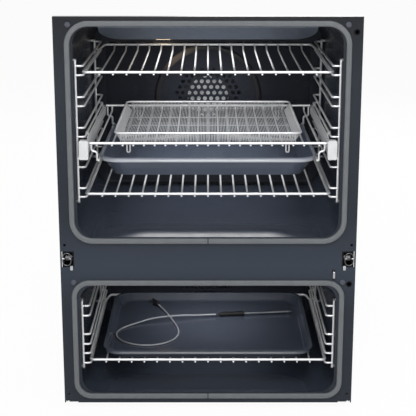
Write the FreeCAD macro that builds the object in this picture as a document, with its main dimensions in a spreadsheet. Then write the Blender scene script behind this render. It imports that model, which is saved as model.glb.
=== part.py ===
"""Body of a built-in double oven: enamelled front frame, two lined cavities one above the other, chromed
racks and shelves, telescopic runners with a basket carrier, a baking tray with a food probe, and the works
behind them.

Millimetres. +Z is up, the oven faces -Y, and the origin is the middle of the base's underside.
"""
import FreeCAD
import Part
import math
import os
import re
from types import SimpleNamespace

Vector = FreeCAD.Vector

SIZES = {
    # Casing. Depths are measured from the frame's front face, heights from the frame's lower edge.
    "frame_width": 560,
    "frame_height": 749,
    "frame_fold": 14,
    "frame_sheet": 1.5,
    "base_gap": 12,
    "casing_depth": 550,
    "casing_sheet": 1,
    "side_inset": 4,
    "roof_gap": 0.5,
    "roof_drop": 52,
    "base_setback": 30,
    "vent_count": 9,
    "vent_width": 90,
    "vent_height": 5,
    "vent_pitch": 13,
    "vent_edge": 146,
    "vent_drop": 189,
    "screw_head": 8,
    "screw_rise": 2.4,
    "screw_round": 1.4,
    "screw_inset": 14,
    "screw_count": 5,
    "seat_gap": 0.3,
    # Openings and the liners behind them.
    "frame_side": 35,
    "frame_head": 18.4,
    "frame_bridge": 96,
    "upper_sill": 337,
    "lower_sill": 22,
    "opening_radius": 30,
    "liner_lip": 6,
    "liner_sheet": 1,
    "rear_space": 80,
    "ceiling_gap": 1.4,
    "blanket_thickness": 11,
    "blanket_air": 6,
    "blanket_start": 75,
    # Door seals, bumpers and hinge fittings on the frame.
    "seal_width": 10,
    "seal_height": 6,
    "seal_round": 2.5,
    "seal_side": 5,
    "seal_sill": 12,
    "seal_head": 11,
    "upper_seal_radius": 44,
    "lower_seal_radius": 34,
    "seal_joint": 0.6,
    "bumper_width": 11,
    "bumper_height": 3.2,
    "bumper_round": 2.5,
    "bumper_gap": 2.5,
    "fixing_edge": 9,
    "fixing_hole": 5.2,
    "fixing_rise": 4,
    "fixing_drop": 15.6,
    "hinge_width": 19,
    "hinge_drop": 58,
    "hinge_height": 29,
    "hinge_depth": 40,
    "hinge_sheet": 1.5,
    "hinge_slot_gap": 1,
    "hinge_slot_edge": 2,
    "lower_hinge_notch": 3.8,
    "roller_width": 15,
    "roller_length": 12,
    "roller_pin": 5,
    "roller_depth": 10,
    "running_gap": 0.05,
    "tongue_width": 5,
    "tongue_drop": 7,
    "switch_aside": 15.7,
    "switch_rise": 22,
    "switch_slot": 20,
    "switch_width": 16,
    "switch_depth": 24,
    "switch_wall": 5,
    "lever_width": 5,
    "lever_height": 14,
    "lever_reach": 5.5,
    "lever_tail": 12,
    "lever_round": 2,
    "lever_gap": 0.5,
    "socket_edge": 11.5,
    "socket_width": 11,
    "socket_shoulder": 12.4,
    "socket_proud": 0.8,
    "socket_bore": 6.5,
    "socket_margin": 0.15,
    "socket_depth": 25,
    "socket_bore_depth": 22,
    "upper_socket_drop": 27.6,
    "lower_socket_rise": 3,
    # Fan covers, fans, elements, lamps and sensors at the back of the cavities.
    "cover_aside": 21,
    "cover_rise": 43,
    "cover_sheet": 1.2,
    "upper_cover_lift": 8,
    "lower_cover_lift": 14,
    "upper_cover_clear": 5.5,
    "lower_cover_clear": 1,
    "upper_fan_lift": 193,
    "lower_fan_lift": 109,
    "punch_width": 8.8,
    "punch_pitch": 13.6,
    "punch_row": 12.5,
    "boss_margin": 5,
    "boss_rise": 2,
    "groove_inset": 13,
    "fan_radius": 70,
    "fan_disc": 56,
    "fan_hub": 14,
    "fan_width": 20,
    "fan_clear": 10,
    "fan_blades": 6,
    "fan_lean": 18,
    "blade_sheet": 1.5,
    "shaft_radius": 4,
    "shaft_tail": 30,
    "shaft_play": 2,
    "shaft_hole": 6,
    "motor_radius": 35,
    "motor_length": 46,
    "upper_ring_radius": 100,
    "lower_ring_radius": 84,
    "ring_clear": 21,
    "element_width": 6.5,
    "grill_gap": 15,
    "grill_front": 80,
    "grill_edge": 55,
    "grill_step": 75,
    "grill_bend": 22,
    "deflector_front": 6,
    "deflector_depth": 54,
    "deflector_drop": 28,
    "deflector_inset": 46,
    "deflector_corner": 40,
    "deflector_sheet": 1.2,
    "lamp_edge": 146.3,
    "lamp_width": 44,
    "lamp_height": 18,
    "lamp_corner": 8,
    "lamp_rise": 7,
    "lamp_round": 4.2,
    "upper_lamp_drop": 16,
    "lower_lamp_drop": 1.4,
    "lamp_body": 36,
    "sensor_width": 5,
    "sensor_length": 50,
    "sensor_edge": 95,
    "blower_lift": 49,
    "blower_radius": 56,
    "blower_depth": 56,
    "blower_sheet": 1.2,
    "blower_inlet": 30,
    "rotor_gap": 8,
    "rotor_width": 34,
    "rotor_blades": 16,
    "rotor_lean": 24,
    "rotor_hub": 12,
    "terminal_edge": 76,
    "terminal_drop": 149,
    "terminal_width": 70,
    "terminal_tall": 52,
    "terminal_depth": 34,
    "gland_radius": 9,
    "gland_rise": 8,
    # Side racks: chromed wire, two uprights and pairs of rails that bend in from them.
    "rack_upright": 4.6,
    "rack_wire": 4,
    "rack_stand": 7,
    "rail_step": 14.4,
    "rack_front": 25,
    "rack_clear": 23,
    "rack_bend": 6,
    "rack_hook": 9,
    "rack_hook_bend": 3.2,
    "upper_rail_lift": 72,
    "upper_rack_room": 162.8,
    "upper_level_count": 5,
    "upper_pair_gap": 17,
    "lower_rail_lift": 51,
    "lower_rack_room": 121,
    "lower_level_step": 58.5,
    "lower_pair_gap": 20.3,
    "rack_margin": 10,
    "rack_rear_margin": 3,
    # Wire shelves.
    "shelf_overhang": 0.9,
    "shelf_front": 30,
    "shelf_clear": 6,
    "shelf_bar": 5,
    "shelf_wire": 3.4,
    "shelf_edge": 30.5,
    "shelf_wire_count": 17,
    "shelf_rise": 6.5,
    "shelf_kink": 24,
    "shelf_tuck": 9.5,
    "shelf_bend": 8,
    "weld_depth": 0.5,
    # Telescopic runners, carrier, basket and deep pan.
    "runner_level": 2,
    "runner_drop": 4.4,
    "runner_height": 21,
    "runner_start": 40,
    "runner_clear": 6,
    "runner_web": 0.9,
    "cage_sheet": 1.6,
    "slide_sheet": 1.6,
    "slide_height": 17,
    "cage_height": 13,
    "runner_play": 0.4,
    "clip_length": 14,
    "clip_sheet": 1.2,
    "end_block_gap": 2.2,
    "end_block_height": 36,
    "end_block_depth": 14,
    "end_block_front": 8,
    "end_block_round": 3,
    "carrier_drop": 9.5,
    "carrier_front": 34,
    "carrier_clear": 2,
    "carrier_rise": 7.5,
    "carrier_kink": 6,
    "carrier_bend": 5,
    "carrier_edge": 28.5,
    "carrier_wire_count": 19,
    "hook_inset": 3.4,
    "hook_fall": 15.5,
    "hook_in": 10.5,
    "hook_tail": 17,
    "hook_bend": 5,
    "pan_rail_inset": 3,
    "basket_inset": 33,
    "basket_setback": 8,
    "basket_clear": 5,
    "basket_depth": 17,
    "basket_rim": 4,
    "basket_wire": 2,
    "basket_bend": 3,
    "basket_edge": 10.8,
    "basket_wire_count": 55,
    "basket_cross_count": 3,
    "basket_corner": 12,
    "leg_wire": 3,
    "leg_bay": 7.5,
    "leg_span": 6,
    "leg_bend": 2.7,
    "leg_drop": 21,
    "leg_inset": 6,
    "pan_gap": 1,
    "pan_setback": 4,
    "pan_clear": 6,
    "pan_depth": 37,
    "pan_taper": 19,
    "pan_corner": 34,
    "pan_sheet": 1.2,
    "flange_gap": 0.5,
    # Baking tray in the lower oven and the food probe that lies in it.
    "tray_inset": 26.6,
    "tray_setback": 9,
    "tray_clear": 1,
    "tray_depth": 18,
    "tray_taper": 8,
    "tray_corner": 30,
    "tray_flange": 5,
    "lead_width": 3,
    "handle_width": 10,
    "handle_length": 52,
    "handle_round": 2,
    "handle_neck": 10,
    "neck_width": 6,
    "neck_wall": 0.4,
    "handle_start": 26.9,
    "handle_depth": 274.7,
    "handle_turn": 6.9,
    "needle_width": 4,
    "needle_length": 106,
    "needle_tip": 8,
    "needle_point": 0.8,
    "plug_width": 9,
    "plug_length": 20,
    "jack_width": 6.3,
    "jack_length": 14,
}

# Sizes and places that follow from those, so that what fits in or lines up with another piece stays with it.
FITS = {
    "opening_width": "frame_width - 2 * frame_side",
    "upper_opening": "frame_height - frame_head - upper_sill",
    "lower_opening": "upper_sill - frame_bridge - lower_sill",
    "upper_head": "upper_sill + upper_opening",
    "lower_head": "lower_sill + lower_opening",
    "liner_depth": "casing_depth - rear_space",
    "ceiling_drop": "roof_drop * liner_depth / casing_depth",
    "blanket_side": "frame_side - side_inset - casing_sheet - blanket_air - liner_lip - liner_sheet",
    "fixing_reach": "frame_width / 2 - fixing_edge",
    "fixing_low": "lower_sill - fixing_rise",
    "fixing_high": "upper_sill - fixing_drop",
    "hinge_outer": "frame_width / 2 - side_inset - 2 * casing_sheet - seat_gap",
    "hinge_inner": "hinge_outer - hinge_width",
    "hinge_low": "upper_sill - hinge_drop",
    "lower_hinge_rise": "casing_sheet + seat_gap - base_gap",
    "lower_hinge_setback": "base_setback + casing_sheet + seat_gap",
    "switch_reach": "hinge_inner - switch_aside",
    "switch_height": "lower_head + switch_rise",
    "socket_reach": "frame_width / 2 - socket_edge",
    "upper_socket": "frame_height - upper_socket_drop",
    "lower_socket": "lower_head + lower_socket_rise",
    "rack_reach": "opening_width / 2 + liner_lip - rack_stand",
    "rack_rail": "rack_reach - rail_step",
    "upper_rail_low": "upper_sill + upper_rail_lift",
    "upper_level_pitch": "(upper_opening - upper_rack_room) / (upper_level_count - 1)",
    "lower_rail_low": "lower_sill + lower_rail_lift",
    "lower_top_level": "lower_opening - lower_rack_room",
    "cover_width": "2 * (rack_reach - cover_aside)",
    "cover_depth": "liner_depth - cover_rise",
    "upper_lamp_low": "upper_head + ceiling_gap - ceiling_drop - lamp_height - upper_lamp_drop",
    "lower_lamp_low": "lower_head + ceiling_gap - lamp_height - lower_lamp_drop",
    "upper_cover_low": "upper_sill + upper_cover_lift",
    "lower_cover_low": "lower_sill + lower_cover_lift",
    "upper_cover_height": "upper_lamp_low - upper_cover_clear - upper_cover_low",
    "lower_cover_height": "lower_lamp_low - lower_cover_clear - lower_cover_low",
    "lamp_reach": "opening_width / 2 - lamp_edge",
    "sensor_reach": "opening_width / 2 - sensor_edge",
    "grill_half": "opening_width / 2 - grill_edge",
    "upper_fan_height": "upper_sill + upper_fan_lift",
    "lower_fan_height": "lower_sill + lower_fan_lift",
    "fan_start": "cover_depth + fan_clear",
    "ring_depth": "cover_depth + ring_clear",
    "deflector_width": "opening_width - 2 * deflector_inset",
    "blower_height": "lower_head + blower_lift",
    "rotor_radius": "blower_radius - blower_sheet - rotor_gap",
    "vent_side": "frame_width / 2 - side_inset - vent_edge",
    "vent_start": "frame_height - vent_drop",
    "terminal_reach": "frame_width / 2 - side_inset - terminal_edge",
    "terminal_height": "frame_height - terminal_drop",
    "rack_back": "cover_depth - rack_clear",
    "shelf_half": "rack_rail + shelf_overhang",
    "shelf_pitch": "2 * (shelf_half - shelf_edge) / (shelf_wire_count - 1)",
    "shelf_back": "rack_back - shelf_clear",
    "runner_rail": "upper_rail_low + runner_level * upper_level_pitch",
    "runner_top": "runner_rail - runner_drop",
    "runner_end": "rack_back - runner_clear",
    "web_outer": "rack_rail - rack_wire / 2 - seat_gap",
    "web_inner": "web_outer - runner_web",
    "slide_outer": "web_inner - 2 * runner_play - cage_sheet",
    "runner_inner": "slide_outer - slide_sheet",
    "end_block_width": "rack_reach - rack_upright / 2 - end_block_gap - runner_inner",
    "carrier_height": "runner_top - carrier_drop",
    "carrier_back": "rack_back - carrier_clear",
    "hook_top": "runner_inner - hook_inset",
    "hook_bottom": "hook_top - hook_in",
    "carrier_pitch": "2 * (hook_bottom - carrier_edge) / (carrier_wire_count - 1)",
    "hook_step": "carrier_height - hook_fall",
    "pan_rail": "hook_bottom - pan_rail_inset",
    "pan_rail_height": "hook_step - hook_tail",
    "pan_half": "pan_rail - rack_wire / 2 - pan_gap",
    "pan_flange": "hook_bottom - rack_wire / 2 - flange_gap - pan_half",
    "pan_front": "carrier_front + pan_setback",
    "pan_back": "carrier_back - pan_clear",
    "basket_half": "hook_bottom - basket_inset",
    "basket_pitch": "2 * (basket_half - basket_edge) / (basket_wire_count - 1)",
    "basket_front": "carrier_front + basket_setback",
    "basket_back": "carrier_back - carrier_kink - basket_clear",
    "leg_reach": "carrier_pitch * leg_bay",
    "tray_half": "rack_rail - tray_inset",
    "tray_front": "shelf_front + tray_setback",
    "tray_back": "shelf_back - shelf_kink + tray_taper - tray_clear",
}

# Holes in half the rows of the fan cover's punched disc, from the middle row outwards.
PUNCHED_ROWS = (10, 11, 10, 9, 8, 3)

# The probe lead on the tray's floor, from its plug to its handle: across, back from the frame, and lift
# over the floor.
BEND_SHARE = 0.45
LEAD_LIFT = 1.8
LEAD_HUMP = 8.0
LEAD_ROUTE = [
    (-109.5, 336.5, 4.9),
    (-98.0, 313.0, 2.6),
    (-88.5, 288.0, LEAD_LIFT),
    (-77.5, 252.0, LEAD_LIFT),
    (-66.5, 214.0, LEAD_LIFT),
    (-60.0, 178.0, LEAD_LIFT),
    (-64.0, 146.0, LEAD_LIFT),
    (-80.0, 119.0, LEAD_LIFT),
    (-104.0, 104.0, LEAD_LIFT),
    (-130.0, 101.0, LEAD_LIFT),
    (-155.0, 110.0, LEAD_LIFT),
    (-175.0, 129.0, LEAD_LIFT),
    (-186.0, 154.0, LEAD_LIFT),
    (-186.0, 180.0, LEAD_LIFT),
    (-174.0, 205.0, LEAD_LIFT),
    (-151.0, 227.0, 3.0),
    (-116.0, 246.5, LEAD_HUMP),
    (-60.0, 261.0, LEAD_HUMP),
    (-27.0, 267.0, 5.8),
    (1.1, 271.6, 5.3),
]

doc = FreeCAD.newDocument("double_oven")
dims = doc.addObject("Spreadsheet::Sheet", "dims")
fits = doc.addObject("Spreadsheet::Sheet", "fits")


def link(text, own_sheet=None):
    """An expression in which every word that isn't a function names a cell of one of the two sheets."""
    def cell(word):
        name = word.group()
        home = "dims" if name in SIZES else "fits"
        return name if home == own_sheet else f"{home}.{name}"
    return re.sub(r"\b[a-z][a-z_]+\b(?!\()", cell, text)


def fill(cells, entries):
    for row, (alias, content) in enumerate(entries.items(), start=1):
        cells.set(f"A{row}", alias)
        cells.set(f"B{row}", content)
        cells.setAlias(f"B{row}", alias)
    doc.recompute()


fill(dims, {alias: str(number) for alias, number in SIZES.items()})
fill(fits, {alias: "=" + link(text, "fits") for alias, text in FITS.items()})
v = SimpleNamespace(**{
    alias: float(cells.get(alias)) for cells, entries in ((dims, SIZES), (fits, FITS)) for alias in entries})

# Planes that many pieces share, as expressions on the sheet.
FRONT = "(-casing_depth / 2)"
BEHIND_FRAME = f"({FRONT} + frame_sheet)"
CASE_HALF = "(frame_width / 2 - side_inset)"
REAR = "(casing_depth / 2)"
BASE_WALL = "(base_gap + lower_sill - liner_lip - liner_sheet - blanket_thickness - roof_gap)"
ROOF_FRONT = "(base_gap + frame_height - frame_sheet - roof_gap)"
ROOF_BACK = f"({ROOF_FRONT} - roof_drop)"
LINER_HALF = "(opening_width / 2 + liner_lip)"
LINER_BACK = f"({FRONT} + liner_depth)"

# The same planes as numbers, for the pieces that are bent from wire and sheet below.
front = -v.casing_depth / 2
liner_half = v.opening_width / 2 + v.liner_lip
liner_back = front + v.liner_depth

# How near to a plane an edge counts as lying in it.
TOUCH = 0.1

pieces = {}


# Helpers: blocks, rounds and joins whose sizes are bound to the sheet.
def place(obj, at):
    for axis, text in zip("xyz", at):
        obj.setExpression(f"Placement.Base.{axis}", link(text))
    return obj


def box(size, at, name="block"):
    block = doc.addObject("Part::Box", name)
    for side, text in zip(("Length", "Width", "Height"), size):
        block.setExpression(side, link(text))
    return place(block, at)


AXIS_TURNS = {
    "x": FreeCAD.Rotation(Vector(0, 1, 0), 90),
    "y": FreeCAD.Rotation(Vector(1, 0, 0), -90),
    "z": FreeCAD.Rotation(),
}


def cylinder(radius, length, at, axis="y", name="round"):
    bar = doc.addObject("Part::Cylinder", name)
    bar.setExpression("Radius", link(radius))
    bar.setExpression("Height", link(length))
    bar.Placement = FreeCAD.Placement(Vector(), AXIS_TURNS[axis])
    return place(bar, at)


def wedge(half, back_half, depth, low, high, back_low, back_high, name="wedge"):
    """A block along Y, from depth[0] to depth[1], whose back face may differ from its front face."""
    block = doc.addObject("Part::Wedge", name)
    links = {
        "Xmin": f"-({half})", "Xmax": half, "X2min": f"-({back_half})", "X2max": back_half,
        "Ymin": depth[0], "Ymax": depth[1],
        "Zmin": low, "Zmax": high, "Z2min": back_low, "Z2max": back_high,
    }
    for side, text in links.items():
        block.setExpression(side, link(text))
    return block


def join(kind, shapes, name):
    joined = doc.addObject(kind, name)
    if kind == "Part::Compound":
        joined.Links = shapes
    else:
        joined.Shapes = shapes
    return joined


def fuse(shapes, name="joined"):
    return join("Part::MultiFuse", shapes, name)


def group(shapes, name="group"):
    return join("Part::Compound", shapes, name)


def cut(base, tools, name="cut"):
    result = doc.addObject("Part::Cut", name)
    result.Base = base
    result.Tool = tools[0] if len(tools) == 1 else fuse(tools)
    return result


def rounded(base, radius, pick):
    """Round the edges of a finished block that pick chooses."""
    doc.recompute()
    fillet = doc.addObject("Part::Fillet", "rounded")
    fillet.Base = base
    fillet.Edges = [
        (number, radius, radius)
        for number, edge in enumerate(base.Shape.Edges, start=1) if pick(edge)
    ]
    return fillet


def runs_back(edge):
    """Whether an edge runs from front to back."""
    start, end = (vertex.Point for vertex in edge.Vertexes)
    return abs(end.y - start.y) > max(abs(end.x - start.x), abs(end.z - start.z))


def mirrored(obj, name="mirrored"):
    other = doc.addObject("Part::Mirroring", name)
    other.Source = obj
    other.Normal = Vector(1, 0, 0)
    return other


def solid(shape, name="shape"):
    feature = doc.addObject("Part::Feature", name)
    feature.Shape = shape
    return feature


def piece(label, obj):
    obj.Label = label
    pieces[label] = obj
    return obj


# Helpers: wire bent along points, and drawn sheet.
def corner_arc(before, corner, after, radius):
    """Where a bend of this radius starts, its middle, and where it ends."""
    back = (before - corner).normalize()
    ahead = (after - corner).normalize()
    half_angle = back.getAngle(ahead) / 2
    reach = radius / math.tan(half_angle)
    middle = (back + ahead).normalize() * (radius / math.sin(half_angle) - radius)
    return corner + back * reach, corner + middle, corner + ahead * reach


def bent_path(points, radii, closed=False):
    """Straight runs joined by tangent arcs through the points."""
    count = len(points)
    corners = range(count) if closed else range(1, count - 1)
    bends = [corner_arc(points[i - 1], points[i], points[(i + 1) % count], radii[i]) for i in corners]
    edges = []
    reached = bends[-1][2] if closed else points[0]
    for start, middle, end in bends:
        if (start - reached).Length > 1e-6:
            edges.append(Part.LineSegment(reached, start).toShape())
        edges.append(Part.Arc(start, middle, end).toShape())
        reached = end
    if not closed:
        edges.append(Part.LineSegment(reached, points[-1]).toShape())
    return Part.Wire(edges)


def bent_wire(points, diameter, bend, closed=False):
    """A round wire bent along the points, each corner with the same radius."""
    points = [Vector(*point) for point in points]
    if len(points) == 2:
        run = points[1] - points[0]
        return Part.makeCylinder(diameter / 2, run.Length, points[0], run)
    path = bent_path(points, [bend] * len(points), closed)
    first = path.Edges[0]
    start = first.valueAt(first.FirstParameter)
    section = Part.Wire(Part.Circle(start, first.tangentAt(first.FirstParameter), diameter / 2).toShape())
    return path.makePipeShell([section], True, False)


def welded(wires):
    """Wires that cross each other, welded into one piece."""
    return wires[0].multiFuse(wires[1:]).removeSplitter()


def outline(half, low_y, high_y, radius, height):
    """A rounded rectangle in a level plane, as one wire."""
    corners = [(half, low_y), (half, high_y), (-half, high_y), (-half, low_y)]
    points = [Vector(x, y, height) for x, y in corners]
    return bent_path(points, [radius] * len(points), closed=True)


def drawn_pan(half, front_y, back_y, rim_z, depth, taper, corner, thickness, flange):
    """A pan pressed from sheet: sloping walls, rounded corners and a flat flange round its rim."""
    def block(shrink, low, high):
        top = outline(half - shrink, front_y + shrink, back_y - shrink, corner - shrink, high)
        inset = shrink + taper * (high - low) / depth
        bottom = outline(half - inset, front_y + inset, back_y - inset, corner - shrink, low)
        return Part.makeLoft([bottom, top], True, True)
    floor_z = rim_z - depth
    edge = outline(half + flange, front_y - flange, back_y + flange, corner + flange, rim_z - thickness)
    body = block(0, floor_z, rim_z).fuse(Part.Face(edge).extrude(Vector(0, 0, thickness)))
    return body.cut(block(thickness, floor_z + thickness, rim_z + thickness)).removeSplitter()


# Front frame: one enamelled sheet with its edges folded back.
def opening(sill, height, name):
    hole = box(
        ("opening_width", "frame_fold * 2", height),
        ("-opening_width / 2", f"{FRONT} - frame_fold / 2", f"base_gap + {sill}"), name)
    return rounded(hole, v.opening_radius, runs_back)


def through_frame(radius, across, height):
    """A round hole through the frame's sheet."""
    return cylinder(radius, "frame_sheet * 4", (across, f"{FRONT} - frame_sheet * 2", f"base_gap + {height}"))


frame_sheet = cut(
    box(
        ("frame_width", "frame_fold", "frame_height"),
        ("-frame_width / 2", FRONT, "base_gap"), "frame_blank"),
    [box(
        ("frame_width - 2 * frame_sheet", "frame_fold", "frame_height - 2 * frame_sheet"),
        ("frame_sheet - frame_width / 2", BEHIND_FRAME, "base_gap + frame_sheet"), "frame_fold_hollow")])
frame_holes = [
    opening("upper_sill", "upper_opening", "upper_opening_hole"),
    opening("lower_sill", "lower_opening", "lower_opening_hole"),
    box(
        ("lever_width + 2 * lever_gap", "frame_sheet * 4", "switch_slot"),
        ("switch_reach - lever_width / 2 - lever_gap", f"{FRONT} - frame_sheet * 2",
         "base_gap + switch_height - switch_slot / 2")),
    through_frame("socket_width / 2 + socket_margin", "socket_reach", "upper_socket"),
    through_frame("socket_width / 2 + socket_margin", "socket_reach", "lower_socket"),
]
for side in ("", "-"):
    for height in ("fixing_low", "fixing_high"):
        frame_holes.append(through_frame("fixing_hole / 2", f"{side}fixing_reach", height))
    slot_low = "hinge_slot_edge - frame_width / 2" if side else "hinge_inner - hinge_slot_gap"
    slot_size = "frame_width / 2 - hinge_slot_edge - hinge_inner + hinge_slot_gap"
    frame_holes.append(box(
        (slot_size, "frame_sheet * 4", "hinge_height + 2 * hinge_slot_gap"),
        (slot_low, f"{FRONT} - frame_sheet * 2", "base_gap + hinge_low - hinge_slot_gap"), "hinge_slot"))
    frame_holes.append(box(
        (slot_size, "frame_fold * 2", "lower_hinge_notch * 2"),
        (slot_low, f"{FRONT} - frame_fold / 2", "base_gap - lower_hinge_notch"), "hinge_notch"))
piece("front_frame", cut(frame_sheet, frame_holes, "front_frame"))

# Casing: base pan open to the front, sides, sloping top cover and vented back cover.
base_outer = box(
    (f"2 * ({CASE_HALF} - casing_sheet)", "casing_depth - base_setback - casing_sheet", BASE_WALL),
    (f"casing_sheet - {CASE_HALF}", f"{FRONT} + base_setback", "0"), "base_blank")
base_inner = box(
    (f"2 * ({CASE_HALF} - 2 * casing_sheet)", "casing_depth - base_setback - casing_sheet", BASE_WALL),
    (f"2 * casing_sheet - {CASE_HALF}", f"{FRONT} + base_setback - casing_sheet", "casing_sheet"),
    "base_hollow")
piece("base_pan", cut(base_outer, [base_inner], "base_pan"))


def side_panel():
    """The left side, its top edge cut to the slope of the top cover."""
    panel = wedge(
        "casing_sheet / 2", "casing_sheet / 2", (BEHIND_FRAME, f"{REAR} - casing_sheet"),
        "base_gap + frame_sheet", f"{ROOF_FRONT} - casing_sheet",
        "base_gap + frame_sheet", f"{ROOF_BACK} - casing_sheet", "side_panel")
    panel.setExpression("Placement.Base.x", link(f"casing_sheet / 2 - {CASE_HALF}"))
    return panel


left_panel = piece("left_side_panel", side_panel())
piece("right_side_panel", mirrored(left_panel))
piece("top_cover", wedge(
    CASE_HALF, CASE_HALF, (BEHIND_FRAME, f"{REAR} - casing_sheet"),
    f"{ROOF_FRONT} - casing_sheet", ROOF_FRONT, f"{ROOF_BACK} - casing_sheet", ROOF_BACK, "top_cover"))

back_blank = box(
    (f"2 * {CASE_HALF}", "casing_sheet", ROOF_BACK),
    (f"-{CASE_HALF}", f"{REAR} - casing_sheet", "0"), "back_blank")
back_holes = [cylinder(
    "gland_radius", "casing_sheet * 4",
    ("-terminal_reach", f"{REAR} - casing_sheet * 2", "base_gap + terminal_height + terminal_tall / 2"))]
for number in range(int(v.vent_count)):
    for side in ("", "-"):
        back_holes.append(box(
            ("vent_width", "casing_sheet * 4", "vent_height"),
            (f"{side}vent_side - vent_width / 2", f"{REAR} - casing_sheet * 2",
             f"base_gap + vent_start - {number} * vent_pitch"), "vent"))
piece("back_cover", cut(back_blank, back_holes, "back_cover"))

screws = []
for number in range(int(v.screw_count)):
    rise = f"screw_inset + ({ROOF_BACK} - 2 * screw_inset) * {number} / (screw_count - 1)"
    for side in ("", "-"):
        head = cylinder(
            "screw_head / 2", "screw_rise",
            (f"{side}({CASE_HALF} - screw_inset)", REAR, rise))
        screws.append(rounded(
            head, v.screw_round, lambda edge: edge.BoundBox.YMin > v.casing_depth / 2 + v.screw_rise - TOUCH))
piece("case_screws", group(screws, "case_screws"))


# Cavity liners: a rounded tube of enamelled sheet behind each opening, closed by its back wall.
def liner_block(sill, height, drop, spread, depth, side_spread=None):
    """The cavity's inner space, made larger by spread all round."""
    half = f"{LINER_HALF} + {side_spread or spread}"
    low = f"base_gap + {sill} - liner_lip - {spread}"
    high = f"base_gap + {sill} + {height} + ceiling_gap + {spread}"
    block = wedge(half, half, depth, low, high, low, f"{high} - {drop}", "liner_block")
    return rounded(block, v.opening_radius + v.liner_lip, runs_back)


OVENS = {
    "upper": ("upper_sill", "upper_opening", "ceiling_drop"),
    "lower": ("lower_sill", "lower_opening", "0"),
}
blankets = []
for oven, (sill, height, drop) in OVENS.items():
    shell = cut(
        liner_block(sill, height, drop, "liner_sheet", (BEHIND_FRAME, f"{LINER_BACK} + liner_sheet")),
        [liner_block(sill, height, drop, "0", (FRONT, LINER_BACK))])
    fan_height = f"base_gap + {oven}_fan_height"
    lamp_low = f"base_gap + {oven}_lamp_low"
    wall_holes = [
        cylinder("shaft_hole", "liner_sheet * 6", ("0", f"{LINER_BACK} - liner_sheet * 2", fan_height)),
        box(
            ("lamp_width - 2 * lamp_corner", "liner_sheet * 6", "lamp_height - lamp_corner"),
            ("lamp_corner - lamp_reach - lamp_width / 2", f"{LINER_BACK} - liner_sheet * 2",
             f"{lamp_low} + lamp_corner / 2"), "lamp_hole"),
    ]
    piece(f"{oven}_cavity", cut(shell, wall_holes, f"{oven}_cavity"))
    sleeve = (FRONT, LINER_BACK)
    bare_front = box(
        ("frame_width", "blanket_start", "frame_height"), ("-frame_width / 2", FRONT, "base_gap"),
        "bare_front")
    blankets.append(cut(
        liner_block(
            sill, height, drop, "(liner_sheet + blanket_thickness)", sleeve, "(liner_sheet + blanket_side)"),
        [liner_block(sill, height, drop, "(liner_sheet + seat_gap)", sleeve), bare_front], f"{oven}_blanket"))
piece("insulation_blankets", group(blankets, "insulation_blankets"))


# Door seals: a moulded ring round each opening, its ends butted at the bottom.
def door_seal(sill, height, radius, name):
    half = "(opening_width / 2 + seal_side + seal_width)"
    low = f"(base_gap + {sill} - seal_sill)"
    tall = f"({height} + seal_sill + seal_head)"
    outer = box(
        (f"2 * {half}", "seal_height", tall), (f"-{half}", f"{FRONT} - seal_height", low), "seal_blank")
    inner = box(
        (f"2 * {half} - 2 * seal_width", "seal_height * 2", f"{tall} - 2 * seal_width"),
        (f"seal_width - {half}", f"{FRONT} - seal_height * 1.5", f"{low} + seal_width"), "seal_hollow")
    ring = cut(rounded(outer, radius, runs_back), [rounded(inner, radius - v.seal_width, runs_back)])
    soft = rounded(ring, v.seal_round, lambda edge: edge.BoundBox.YMax < front - v.seal_height + TOUCH)
    joint = box(
        ("seal_joint", "seal_height", "seal_width * 2"),
        ("-seal_joint / 2", f"{FRONT} - seal_height * 1.7", f"{low} - seal_width / 2"), "seal_joint_cut")
    return cut(soft, [joint], name)


piece("upper_door_seal", door_seal("upper_sill", "upper_opening", v.upper_seal_radius, "upper_door_seal"))
piece("lower_door_seal", door_seal("lower_sill", "lower_opening", v.lower_seal_radius, "lower_door_seal"))

# Door bumpers, door hinge receivers with their rollers, door switch and probe sockets.
bumpers = []
for oven in ("upper", "lower"):
    corner_half = f"opening_width / 2 + seal_side + seal_width - {oven}_seal_radius"
    corner_height = f"base_gap + {oven}_head + seal_head - {oven}_seal_radius"
    diagonal = f"({oven}_seal_radius + bumper_width / 2 + bumper_gap) / sqrt(2)"
    for side in ("", "-"):
        dome = cylinder(
            "bumper_width / 2", "bumper_height",
            (f"{side}({corner_half} + {diagonal})", f"{FRONT} - bumper_height",
             f"{corner_height} + {diagonal}"))
        bumpers.append(rounded(
            dome, v.bumper_round, lambda edge: edge.BoundBox.YMax < front - v.bumper_height + TOUCH))
piece("door_bumpers", group(bumpers, "door_bumpers"))


def hinge_receiver(setback, low, tongue):
    """The left receiver: a folded steel channel, open to the front, with the roller's pin across it."""
    blank = box(
        ("hinge_width", "hinge_depth", "hinge_height"), ("-hinge_outer", setback, low), "receiver_blank")
    hollow = box(
        ("hinge_width - 2 * hinge_sheet", "hinge_depth", "hinge_height - 2 * hinge_sheet"),
        ("hinge_sheet - hinge_outer", f"{setback} - hinge_sheet", f"{low} + hinge_sheet"), "receiver_hollow")
    pin = cylinder(
        "roller_pin / 2", "hinge_width - hinge_sheet",
        ("hinge_sheet / 2 - hinge_outer", f"{setback} + roller_depth", f"{low} + hinge_height / 2"),
        "x", "roller_pin")
    solids = [cut(blank, [hollow]), pin]
    if tongue:
        across = "hinge_width - hinge_sheet - tongue_width - hinge_outer"
        ahead = f"({FRONT} - seat_gap - hinge_sheet)"
        solids.append(box(
            ("tongue_width", f"{setback} - {ahead} + hinge_sheet", "hinge_sheet"), (across, ahead, low),
            "tongue_root"))
        solids.append(box(
            ("tongue_width", "hinge_sheet", "tongue_drop + hinge_sheet"),
            (across, ahead, f"{low} - tongue_drop"), "tongue"))
    return fuse(solids, "hinge_receiver")


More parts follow.
